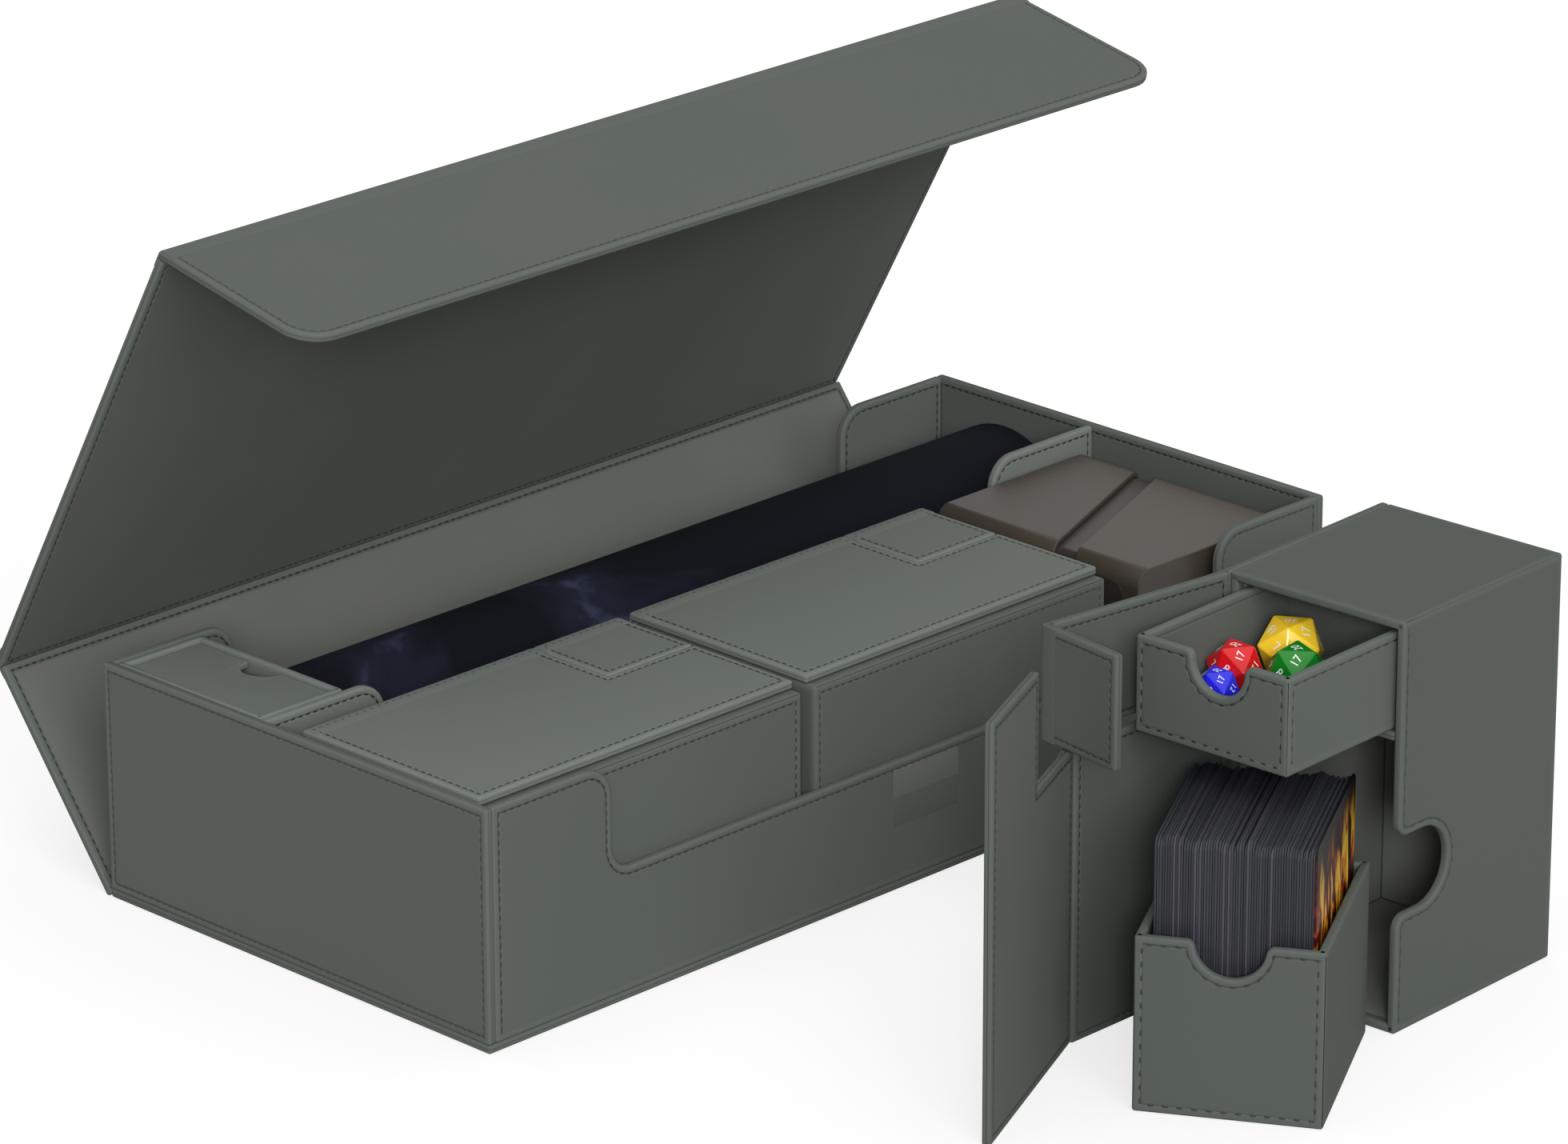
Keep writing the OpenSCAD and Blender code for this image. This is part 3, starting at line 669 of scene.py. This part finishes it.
for node, normal, sewn in (
    ("left_end_wall", -X, always),
    ("right_end_wall", X, always),
    ("front_wall", -Y, upright_edges),
    ("back_wall", Y, upright_edges),
    ("divider_wall", -Y, upright_edges),
    ("base_cover_panel", -Z, never),
):
    print(node, dress_board(node, normal, sewn, edge_highlight=sewn != never)[1], "stitches")

# %% [markdown]
# ## Wrap cover
# The cover is three boards joined by leatherette alone, which is what lets it fold. Each board
# has a border of leatherette on the inside and a microfibre lining between the borders. The
# lining pieces replace their own solids.


# %% Cover panels
def dress_cover(part, joint, lining):
    """A cover panel and its lining, as two pieces."""
    panel, cloth = f"cover_{part}_panel", f"cover_{part}_lining"
    normal = broad_normal(panel, centre_of(panel) - centre_of(cloth))
    spots, count = dress_board(panel, normal, joint=joint)
    inside = Work(lining)
    add_lining(inside, spots, normal, width_of(panel, normal), lining)
    put(inside, cloth + "_cloth", cloth)
    return count


# The back's lining is the light tone, partly painted light; the lid's and flap's the dark tone, partly painted
# shade
for part, joint, lining in (
    ("back", "cover_back_fold", light_lining),
    ("lid", "cover_lid_fold", dark_lining),
    ("flap", "cover_flap_fold", dark_lining),
):
    print("cover", part, dress_cover(part, joint, lining), "stitches")

# %% [markdown]
# ## Deck cases
# A deck case is a shell with two bays, closed by two doors on its long side. Each door carries
# a flap that folds over the shell's side. Three cases of one kind are here: two lie closed in
# the box, one stands open in front of it. The same lines dress all three, and only need to
# know which way each case points.

# %% Directions of each case
INTO = broad_normal("open_case_shell", -Vector(joints["dice_drawer_slide"]["axis"]))
ACROSS = Z.cross(INTO)
CASES = {"left": (-Y, -Z, X), "right": (-Y, -Z, X), "open": (INTO, ACROSS, Z)}
print("the open case points", [round(v, 3) for v in INTO])


# %% Case shells
SHY = 0.02 * mm  # keeps the boards that meet in a corner from lying in one plane
MOUTH_SHARE = 0.45


def dress_box(node, walls, inside=None):
    """A box-shaped piece: for each outer face given, one board, wrapped on its outside."""
    work, count = Work(skin_of(node), thread, inside), 0
    for normal, thick, sewn, style in walls:
        loop = set_in(outline_of(node, normal), normal, SHY)
        count += add_board(work, loop, normal, thick, sewn, style, False, inside)[1]
    put(work, node + "_wrapped", node)
    return count


def dress_shell(case, into, across, up):
    """The shell of a case, open towards its doors, with a lining inside that is paler as painted light."""
    node = case + "_case_shell"
    front, back = extent(node, into)
    low, high = extent(node, up)
    wall = extent(case + "_case_shelf", across)[0] - extent(node, across)[0]

    def at_mouth(middle, outward):
        """The opening's edge and the thumb cut-out, but not the top and bottom edges."""
        in_front = middle.dot(into) < front + MOUTH_SHARE * (back - front)
        return in_front and low + wall < middle.dot(up) < high - wall

    walls = [(-across, wall, at_mouth, COARSE), (into, wall, always, FINE)]
    walls += [(normal, wall, never, FINE) for normal in (across, up, -up)]
    return dress_box(node, walls, bay_lining_painted_light)


for case, ways in CASES.items():
    print(case, "case shell", dress_shell(case, *ways), "stitches")


# %% Case doors and flaps
for case, (into, across, up) in CASES.items():
    is_open = case == "open"
    door_out = across if is_open else -into
    flap_out = across if is_open else -across
    small_out = -into if is_open else -across
    shelf_up = broad_normal(case + "_case_shelf", up)
    total = dress_board(case + "_case_shelf", shelf_up, never)[1]
    total += dress_board(case + "_case_side_board", across)[1]
    for kind, hint, lining in (
        ("card_door", door_out, None),
        ("drawer_door", door_out, None),
        ("side_flap", flap_out, dark_lining),
        ("small_flap", small_out, dark_lining),
    ):
        node, joint = f"{case}_case_{kind}", f"{case}_{kind}_fold"
        total += dress_board(node, broad_normal(node, hint), joint=joint, lining=lining)[1]
    print(case, "case boards", total, "stitches")

# %% [markdown]
# ## Trays and drawers
# The card tray and the dice drawer are small open boxes, sewn with the coarser stitch. Their
# walls meet in wrapped corners, so both faces of a corner carry a seam at the same distance.
# The tray and drawer inside the two closed cases are never seen, and keep their plain solids.


# %% Card tray, dice drawer and accessory tray
TRAY_WALL = 3 * mm
DRAWER_FLOOR = 6 * mm
ACCESSORY_WALL = 2.5 * mm
DRAWER_FRONT = extent("dice_drawer", INTO)[0] + 5 * mm


def top_and_mouth(middle, outward):
    """Sews the top edge and the front upright edge of the drawer's side."""
    return outward.z > 0.9 or (outward.dot(INTO) < -0.9 and middle.dot(INTO) < DRAWER_FRONT)


def top_only(middle, outward):
    """Sews the edges that face upwards."""
    return outward.z > 0.3


def dress_tray(node, into, wall, floor, side_sewn):
    """A small open box from its four walls and its floor."""
    across = Z.cross(into)
    sides = ((-into, always), (into, top_only), (-across, side_sewn), (across, side_sewn))
    walls = [(normal, wall, sewn, COARSE) for normal, sewn in sides]
    return dress_box(node, walls + [(-Z, floor, never, COARSE)])


TRAY_INTO = -broad_normal("card_tray", -Vector(joints["card_tray_slide"]["axis"]))
TRAY_ACROSS = Z.cross(TRAY_INTO)
print("the card tray points", [round(v, 3) for v in TRAY_INTO])
for node, into, wall, floor, side_sewn in (
    ("card_tray", TRAY_INTO, TRAY_WALL, TRAY_WALL, never),
    ("dice_drawer", INTO, TRAY_WALL, DRAWER_FLOOR, top_and_mouth),
    ("accessory_tray", -Y, ACCESSORY_WALL, ACCESSORY_WALL, never),
):
    print(node, dress_tray(node, into, wall, floor, side_sewn), "stitches")
print("accessory lid:", dress_board("accessory_lid", Z, never)[1], "stitches")

# %% [markdown]
# ## Folds of the leatherette
# Between two boards the leatherette runs on as a plain strip, bent round the bead.

# %% Fold strips
STRIP_REACH = 5.5 * mm
STRIP_TAPER = 1 * mm
STRIP_PROUD = 0.1 * mm
STRIP_T = 0.5 * mm
STRIP_SHORT = 0.3 * mm
# share of painted highlight over the whole bent strip
STRIP_HIGHLIGHT = 0.35
BEND_STEPS = 8


def fold_strip(joint_name, node_a, node_b, outer):
    """A leatherette strip over the fold between two boards, on the outer side given."""
    joint = joints[joint_name]
    at, along = Vector(joint["pos_m"]), Vector(joint["axis"]).normalized()
    into_a, into_b = (
        (offset - along * offset.dot(along)).normalized()
        for offset in (centre_of(node) - at for node in (node_a, node_b))
    )
    side_a = along.cross(into_a)
    if side_a.dot(outer) < 0:
        side_a = -side_a
    turn = (-into_a).angle(into_b)
    spin = (-into_a).cross(into_b).dot(along)

    def turned(share):
        """Board a's outer side, turned by a share of the fold."""
        return Matrix.Rotation(math.copysign(turn * share, spin), 3, along) @ side_a

    side_b = turned(1)
    reach_a, reach_b = extent(node_a, along), extent(node_b, along)
    low = max(reach_a[0], reach_b[0]) + STRIP_SHORT
    high = min(reach_a[1], reach_b[1]) - STRIP_SHORT
    radius = width_of(node_b, side_b) / 2 + STRIP_PROUD
    if reach_b[1] - reach_b[0] < 0.9 * (high - low):
        radius -= STRIP_PROUD / 2
    opening = side_a.dot(into_b) < 0
    arc = [k / BEND_STEPS for k in range(BEND_STEPS + 1)] if opening else [0.5]
    inner, flush = STRIP_REACH - STRIP_TAPER, radius - STRIP_PROUD
    outside = [
        into_a * STRIP_REACH + side_a * flush,
        into_a * inner + side_a * radius,
        *(turned(share) * radius for share in arc),
        into_b * inner + side_b * radius,
        into_b * STRIP_REACH + side_b * flush,
    ]
    inside = []
    for i, spot in enumerate(outside):
        share = min(1, max(0, (i - 2) / (len(arc) - 1))) if opening else 0.5
        inside.append(spot - turned(share) * STRIP_T)
    ring = outside + inside[::-1]
    base = at - along * at.dot(along)
    points = [base + spot + along * end for end in (low, high) for spot in ring]
    work = Work(skin_of(node_b))
    work.add(points, closed_rings(len(ring), 2), work.finishes[0], [STRIP_HIGHLIGHT] * len(points))
    strip = add_object(joint_name + "_strip", work.mesh(joint_name + "_strip"))
    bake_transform(strip)
    return turn


fold_list = [
    ("cover_back_fold", "base_cover_panel", "cover_back_panel", Y),
    ("cover_lid_fold", "cover_back_panel", "cover_lid_panel", Y),
    ("cover_flap_fold", "cover_lid_panel", "cover_flap_panel", Y + Z),
]
for case, (into, across, up) in CASES.items():
    outer = across if case == "open" else -into
    for kind, flap in (("card", "side_flap"), ("drawer", "small_flap")):
        door = f"{case}_case_{kind}_door"
        fold_list.append((f"{case}_{kind}_door_fold", case + "_case_side_board", door, across))
        fold_list.append((f"{case}_{flap}_fold", door, f"{case}_case_{flap}", outer))
for joint_name, node_a, node_b, outer in fold_list:
    turned = fold_strip(joint_name, node_a, node_b, outer)
    print(joint_name, "bends", round(math.degrees(turned), 1), "degrees")

# %% [markdown]
# ## Pads and patches
# The bays have padded microfibre floors, a thin foam under a nap cloth. The two patches on the
# front wall are plain: a paler field above and a dark closing field over the magnets.


# %% Bay pads and wall patches
PAD_CORNER = 2 * mm
PAD_EDGE = 1.2 * mm
PAD_PUFF = 0.25 * mm
PAD_FLAT, PAD_FALL = 12 * mm, 5 * mm  # how far in its top is level, and falls off
PATCH_CORNER = 0.5 * mm
PATCH_PROUD = 0.15 * mm


def soft_pad(node, puff):
    """A pad with round edges that swells a little towards its middle."""
    low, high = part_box(node)
    loop = rectangle(Z * high.z, X, Y, (low.x, high.x), (low.y, high.y))
    spots, flags = edged(loop, Z, never, PAD_CORNER)
    work = Work(dark_lining)
    swell = rings_at((PAD_FLAT, 0), (PAD_FALL, puff * 0.3))
    side = [(i, d + puff, g, r, s) for i, d, g, r, s in round_section(PAD_EDGE, 0)]
    work.lay(spots, flags, Z, swell + side + rings_at((0, high.z - low.z)), dark_lining)
    pad = put(work, node + "_pad", node)
    return pad


for node in ("front_bay_lining", "rear_bay_lining"):
    print(soft_pad(node, PAD_PUFF).name)

# The closing field's dark microfibre is partly painted shade, for the recess over the magnets
for node, finish in (("label_patch", light_lining), ("closing_patch", dark_lining)):
    loop = [spot - Y * PATCH_PROUD for spot in outline_of(node, -Y)]
    work = Work(finish)
    spots, flags = edged(loop, -Y, never, PATCH_CORNER)
    section = round_section(PATCH_PROUD, 0) + rings_at((0, 2 * PATCH_PROUD))
    work.lay(spots, flags, -Y, section, finish)
    print(put(work, node + "_field", node).name)

# %% [markdown]
# ## Cards
# Each sleeved card is a separate thin sheet with round corners, set a little higher or lower
# than its neighbour. That unevenness is what makes a deck look like a deck, and a striped
# texture would not show it from above.

# %% Sleeved cards
# Clear polypropylene over printed card: cool grey edges, and pale lines among them
sleeves, tree = new_material("clear_polypropylene_sleeves")
tone = add_node(tree, "Attribute", attribute_name="rim").outputs["Fac"]
colour = ramped(tree, tone, (0, "#2a2b30"), (0.7, "#36373d"), (1, "#4b4850"))
finish_with(tree, colour, 0.45, 1.49, {"Specular IOR Level": 0.25})

CARD_CORNER = 3 * mm
CARD_SOFT = 0.12 * mm
CARD_PITCH = 0.82 * mm
CARD_GAP = 0.08 * mm
UNEVEN, WAVE, SLIP = 1.2 * mm, 0.6 * mm, 0.5 * mm
PALE_SHARE = 0.14
TRAY_WAYS = (TRAY_INTO, TRAY_ACROSS, Z)
chance = random.Random(4)


def add_card(work, sides, heights, at, thick, finish, tone):
    """One card, standing across the tray, from its reaches and its place in the row."""
    loop = rectangle(TRAY_ACROSS * at, TRAY_INTO, Z, sides, heights)
    spots, flags = edged(loop, -TRAY_ACROSS, never, CARD_CORNER)
    soft = CARD_SOFT
    section = rings_at((soft, 0), (0, soft), (0, thick - soft), (soft, thick), rim=tone)
    work.lay(spots, flags, -TRAY_ACROSS, section, finish)


(near, far), (start, end), (low, high) = (extent("card_deck", way) for way in TRAY_WAYS)
work = Work(sleeves)
count = round((end - start) / CARD_PITCH)
pitch = (end - start) / count
for k in range(count):
    drop = chance.uniform(0, UNEVEN) + WAVE * (1 + math.sin(k * 0.45))
    back = chance.uniform(0, SLIP)
    at = start + k * pitch
    tone = 0.95 if chance.random() < PALE_SHARE else chance.uniform(0, 0.75)
    add_card(work, (near + back, far), (low, high - drop), at, pitch - CARD_GAP, sleeves, tone)
put(work, "sleeved_deck", "card_deck")
print(count, "cards in the deck")

# %% [markdown]
# The front card shows its picture side. Its print is an abstract drift of warm flames on
# black, drawn only by noise that is stretched upwards, and it fades to black at the top.

# %% The card with the picture side
picture, tree = new_material("printed_card_in_gloss_sleeve")
place = add_node(tree, "UVMap", uv_map="card").outputs["UV"]
tall = add_node(tree, "Mapping", {"Vector": place, "Scale": (5.0, 1.6, 1.0)})
flames = ramped(
    tree,
    noise(tree, tall.outputs["Vector"], 2.4, 6.0, 1.4),
    (0.36, "#0c0403"),
    (0.44, "#3a0a08"),
    (0.5, "#7c1c10"),
    (0.56, "#b8741a"),
    (0.62, "#e0b028"),
    (0.72, "#f0d040"),
)
height = add_node(tree, "SeparateXYZ", {"Vector": place}).outputs["Y"]
colour = mixed(tree, remapped(tree, height, 0.72, 0.97), flames, "#0c0a0b")
finish_with(tree, colour, 0.35, 1.49, {"Specular IOR Level": 0.2})


def lay_print(mesh, name, uvs):
    """Gives each point of a mesh its place on the print."""
    layer = mesh.uv_layers.new(name=name)
    for corner in mesh.loops:
        layer.data[corner.index].uv = uvs[corner.vertex_index]


(near, far), (start, end), (low, high) = (extent("picture_card", way) for way in TRAY_WAYS)
work = Work(picture, sleeves)
add_card(work, (near, far), (low, high), start, end - start, picture, 0)
piece = put(work, "picture_side", "picture_card")
uvs = [
    ((vertex.co.dot(TRAY_INTO) - near) / (far - near), (vertex.co.z - low) / (high - low))
    for vertex in piece.data.vertices
]
lay_print(piece.data, "card", uvs)
print("picture card", round((far - near) / mm, 1), "by", round((high - low) / mm, 1), "mm")

# %% [markdown]
# ## Dice
# The dice are cast acrylic icosahedra, tumbled so that their edges are slightly soft, and
# their numbers are filled with white paint. The solids are kept. A bevel softens their edges
# and each face gets its own number, turned to stand on one side of its triangle.


# %% Dice
DIE_EDGE = 0.35 * mm
PAINT_PROUD = 0.04 * mm
NUMBER_SHARE = 0.6
# Polished, dyed acrylic: a clear bright colour with a glossy coat
GLOSS = {"Specular IOR Level": 0.35, "Coat Weight": 0.12}
paint = even_finish("white_acrylic_paint", "#f2f2ee", "#ffffff", 0.4, 2 * mm)


def number_mesh(text):
    """The outline of a number as a flat mesh, one unit high."""
    curve = bpy.data.curves.new("number", "FONT")
    curve.body = text
    curve.align_x, curve.align_y = "CENTER", "CENTER"
    letter = add_object("number", curve)
    bpy.context.view_layer.update()
    made = bpy.data.meshes.new_from_object(
        letter.evaluated_get(bpy.context.evaluated_depsgraph_get())
    )
    bpy.data.objects.remove(letter)
    return made


def soften(solid, edge, segments, flat=False):
    """Bevels a kept solid. flat first joins the faces that lie in one plane."""
    weld = solid.modifiers.new("one skin", "WELD")
    weld.merge_threshold = 2 * MICRON
    if flat:
        plain = solid.modifiers.new("plain faces", "DECIMATE")
        plain.decimate_type, plain.angle_limit = "DISSOLVE", math.radians(1)
    bevel = solid.modifiers.new("soft edges", "BEVEL")
    bevel.width, bevel.segments, bevel.limit_method = edge, segments, "ANGLE"
    bevel.harden_normals = flat


def dress_solid(node, finish):
    """Gives a kept solid its finish."""
    solid = solids[node]
    solid.data.materials.clear()
    solid.data.materials.append(finish)
    return solid


def dress_die(colour, base, deep):
    """A kept die with its own acrylic, and its numbers as one piece that rides with it."""
    node = colour + "_die"
    acrylic = even_finish(f"{colour}_cast_acrylic", base, deep, 0.16, 9 * mm, GLOSS, 1.49, 2.0)
    solid = dress_solid(node, acrylic)
    soften(solid, DIE_EDGE, 2)
    work = Work(paint)
    faces = list(solid.data.polygons)
    for number, face in enumerate(faces):
        corners = [solid.data.vertices[i].co for i in face.vertices]
        middle = sum(corners, Vector()) / 3
        reach = corners[number % 3] - middle
        up, size = reach.normalized(), NUMBER_SHARE * reach.length
        side = up.cross(face.normal)
        sign = number_mesh(str(number % 20 + 1))
        points = [
            middle + face.normal * PAINT_PROUD + (side * v.co.x + up * v.co.y) * size
            for v in sign.vertices
        ]
        work.add(points, [list(f.vertices) for f in sign.polygons], paint)
    piece = add_object(node + "_numbers", work.mesh(node + "_numbers"))
    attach(piece, body_of[node])
    return len(faces)


for colour, base, deep in (
    ("yellow", "#ffe040", "#ffc81c"),
    ("red", "#e6161e", "#cc1018"),
    ("green", "#128a22", "#0c781c"),
    ("blue", "#2a2af0", "#2020d4"),
):
    print(colour, "die:", dress_die(colour, base, deep), "numbers")

# %% [markdown]
# ## Rolled playmat
# The mat is a knitted cloth face on natural rubber, rolled with the print outside. It is drawn
# as the real sheet, a spiral of the mat's own thickness. The print is an invented drift of pale
# cloud over navy, in the colours of such mats.

# %% Playmat roll
MAT_T = 2.0 * mm
MAT_WIDTH = 610 * mm
ROLL_PITCH = 2.7 * mm
ROLL_STEPS = 64
low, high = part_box("playmat_roll")
mat_centre = (low + high) / 2
outer_r = (high.z - low.z) / 2

# Dye-printed knitted polyester: matt navy with drifting pale blotches, darker near one end
mat_print, tree = new_material("dye_printed_cloth_on_rubber")
place = add_node(tree, "UVMap", uv_map="print").outputs["UV"]
drift = noise(tree, place, 7.0, 7.0, 0.8)
across = add_node(tree, "SeparateXYZ", {"Vector": place}).outputs["X"]
near_end = remapped(tree, across, 0.15, 0.35, -0.16, 0.03)
lift = add_node(tree, "Math", {0: drift, 1: near_end}, operation="ADD").outputs[0]
colour = ramped(tree, lift, (0.5, "#13151c"), (0.6, "#202432"), (0.72, "#5f6786"))
knit = relief(tree, noise(tree, place, 260.0, 1.0), 0.2, 0.1 * mm)
finish_with(tree, colour, 0.9, 1.45, {"Specular IOR Level": 0.1, "Normal": knit})

rubber = even_finish("natural_rubber_back", "#15171c", "#1b1d23", 0.85, 5 * mm)
wound, angle, turns = 0.0, 0.0, []
while wound < MAT_WIDTH:
    radius = outer_r - MAT_T / 2 - ROLL_PITCH * angle / (2 * math.pi)
    turns.append((angle, radius, wound))
    angle += 2 * math.pi / ROLL_STEPS
    wound += radius * 2 * math.pi / ROLL_STEPS
points, uvs, faces, kinds = [], [], [], []
for angle, radius, wound in turns:
    way = Vector((0, math.sin(angle), -math.cos(angle)))
    for r in (radius + MAT_T / 2, radius - MAT_T / 2):
        for x in (low.x, high.x):
            points.append(Vector((x, mat_centre.y, mat_centre.z)) + way * r)
            uvs.append(((high.x - x) / MAT_WIDTH, wound / MAT_WIDTH))
end = 4 * (len(turns) - 1)
for a in range(0, end, 4):
    b = a + 4
    faces += [
        [a, a + 1, b + 1, b],
        [a + 3, a + 2, b + 2, b + 3],
        [a + 2, a, b, b + 2],
        [a + 1, a + 3, b + 3, b + 1],
    ]
    kinds += [0, 1, 0, 0]
faces += [[0, 2, 3, 1], [end + 1, end + 3, end + 2, end]]
work = Work(mat_print, rubber)
work.add(points, faces, mat_print)
work.kinds = kinds + [0, 0]
mat = put(work, "playmat_cloth", "playmat_roll")
lay_print(mat.data, "print", uvs)
print("mat wound", round(turns[-1][0] / (2 * math.pi), 2), "turns")

# %% [markdown]
# ## Plain solids that keep their own mesh
# Some solids need no new mesh. The deck box is moulded in smoky, matt polypropylene, so its
# rounded solids only need a small bevel and a skin that lets some light through. The magnets
# get a bevel too. Hidden boards and trays only get their finish.


# %% Deck box and hidden solids
def smoky_plastic(name, base, cloud, through):
    """Frosted, tinted polypropylene: light scatters on its way through."""
    frost = {"Specular IOR Level": 0.15, "Transmission Weight": through}
    return even_finish(name, base, cloud, 0.38, 50 * mm, frost, ior=1.49, detail=2.0)


smoke = smoky_plastic("frosted_polypropylene", "#4b443b", "#463f38", 0.1)
inner_smoke = smoky_plastic("frosted_polypropylene_liner", "#3c3834", "#383430", 0.05)
card_block = even_finish("stacked_card_edges", "#4a4650", "#3f3c46", 0.6, 2 * mm)
for node, finish, edge in (
    ("deckbox_base", smoke, 0.6 * mm),
    ("deckbox_lid", smoke, 0.6 * mm),
    ("deckbox_liner", inner_smoke, 0),
    ("deckbox_cards", card_block, 0),
    ("floor_board", leather, 0),
    ("wall_magnets", steel, 0.2 * mm),
    ("flap_magnets", steel, 0.2 * mm),
    *((f"{case}_case_card_tray", leather, 0) for case in ("left", "right")),
    *((f"{case}_case_dice_drawer", leather, 0) for case in ("left", "right")),
):
    solid = dress_solid(node, finish)
    if edge:
        soften(solid, edge, 3, flat=True)
print("finishes on the kept solids")

# %% [markdown]
# The deck box has a darker, round-cornered window in the side of its lid. It is drawn as a
# thin field that lies on the lid and rides with it.

# %% Deck box window
WINDOW_CORNER = 5 * mm
WINDOW_PROUD = 0.08 * mm
WINDOW_SIDES = (7 * mm, 32 * mm)  # from the lid's low end along Y
WINDOW_FOOT, WINDOW_HEAD = 8 * mm, 5.5 * mm  # clear of the lid's lowest and highest edge
low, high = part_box("deckbox_lid")
window_y = [low.y + side for side in WINDOW_SIDES]
window_z = (low.z + WINDOW_FOOT, high.z - WINDOW_HEAD)
loop = rectangle(X * (low.x - WINDOW_PROUD), Y, Z, window_y[::-1], window_z)
work = Work(inner_smoke)
spots, flags = edged(loop, -X, never, WINDOW_CORNER)
work.lay(spots, flags, -X, rings_at((0.1 * mm, 0), (0, 2 * WINDOW_PROUD)), inner_smoke)
window = add_object("deckbox_window", work.mesh("deckbox_window"))
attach(window, body_of["deckbox_lid"])
print("deck box window", [round((b - a) / mm, 1) for a, b in (window_y, window_z)], "mm")

# %% [markdown]
# ## Light, floor and camera
# Product photographs like this one are lit by a large soft key beside the camera, a smaller
# fill from the camera's own side and a panel overhead, on white paper. The paper goes white
# through its own colour and a little glow that only camera and mirror rays see, so it adds no
# light to the object.


# %% World and lights
WORLD_LEVEL = 0.44


def seen_rays(tree):
    """1 where a ray comes from the camera, a mirror or glass, else 0."""
    path = add_node(tree, "LightPath")
    seen = path.outputs["Is Camera Ray"]
    for kind in ("Is Glossy Ray", "Is Transmission Ray"):
        larger = add_node(tree, "Math", {0: seen, 1: path.outputs[kind]}, operation="MAXIMUM")
        seen = larger.outputs[0]
    return seen


world = bpy.data.worlds.new("white_studio")
world.use_nodes = True
tree = world.node_tree
tree.nodes.clear()
level = remapped(tree, seen_rays(tree), 0.0, 1.0, WORLD_LEVEL)
sky = add_node(tree, "Background", {"Color": grey(1.0), "Strength": level})
add_node(tree, "OutputWorld", {"Surface": sky.outputs[0]})
bpy.context.scene.world = world


def soft_sun(name, towards, level, degrees):
    """A wide, soft sun. At level 1 it alone shows a surface that faces it as it is painted."""
    data = bpy.data.lights.new(name, "SUN")
    data.energy = level * math.pi
    data.angle = math.radians(degrees)
    lamp = add_object(name, data)
    lamp.rotation_euler = Vector(towards).to_track_quat("Z", "Y").to_euler()


soft_sun("frontal_key", (-0.42, -0.78, 0.48), 0.46, 40)
soft_sun("lens_side_fill", (-0.665, -0.657, 0.354), 0.3, 10)
soft_sun("overhead_panel", (0.1, -0.1, 0.99), 0.22, 80)
bpy.context.scene.view_settings.view_transform = "Standard"
print("lights:", [light.name for light in bpy.data.lights])

# %% Paper floor
FLOOR_HALF = 12.0
FLOOR_DROP = 0.2 * mm
paper, tree = new_material("white_background_paper")
lit = add_node(tree, "BsdfDiffuse", {"Color": grey(0.45)})
pale = add_node(tree, "BsdfDiffuse", {"Color": grey(0.3)})
glow = add_node(tree, "Emission", {"Color": grey(1.0), "Strength": 0.73})
bright = add_node(tree, "AddShader", {0: pale.outputs[0], 1: glow.outputs[0]})
both = add_node(
    tree, "MixShader", {0: seen_rays(tree), 1: lit.outputs[0], 2: bright.outputs[0]}
)
add_node(tree, "OutputMaterial", {"Surface": both.outputs[0]})
half = (-FLOOR_HALF, FLOOR_HALF)
floor_mesh = bpy.data.meshes.new("paper_floor")
floor_mesh.from_pydata(rectangle(Z * -FLOOR_DROP, X, Y, half, half), [], [(0, 1, 2, 3)])
floor_mesh.materials.append(paper)
floor = add_object("paper_floor", floor_mesh)
print("paper floor laid")

# %% Camera
# The place, the three angles and the lens come from a fit to the long box's edges
CAMERA_PLACE = (-1.73035, -1.7348, 1.01386)
azimuth, drop, roll = math.radians(45.35), math.radians(20.76), math.radians(-0.157)
camera_data = bpy.data.cameras.new("long_lens")
camera_data.lens = 178.2
camera_data.sensor_width = 36
camera_data.clip_end = 60
forward = Vector(
    (math.cos(drop) * math.sin(azimuth), math.cos(drop) * math.cos(azimuth), -math.sin(drop))
)
level_right = forward.cross(Z).normalized()
level_up = level_right.cross(forward)
right = math.cos(roll) * level_right + math.sin(roll) * level_up
above = right.cross(forward)
turned = Matrix((right, above, -forward)).transposed().to_4x4()
camera = add_object("long_lens", camera_data)
camera.matrix_world = Matrix.Translation(CAMERA_PLACE) @ turned
bpy.context.scene.camera = camera
print("camera looks", [round(v, 3) for v in forward])
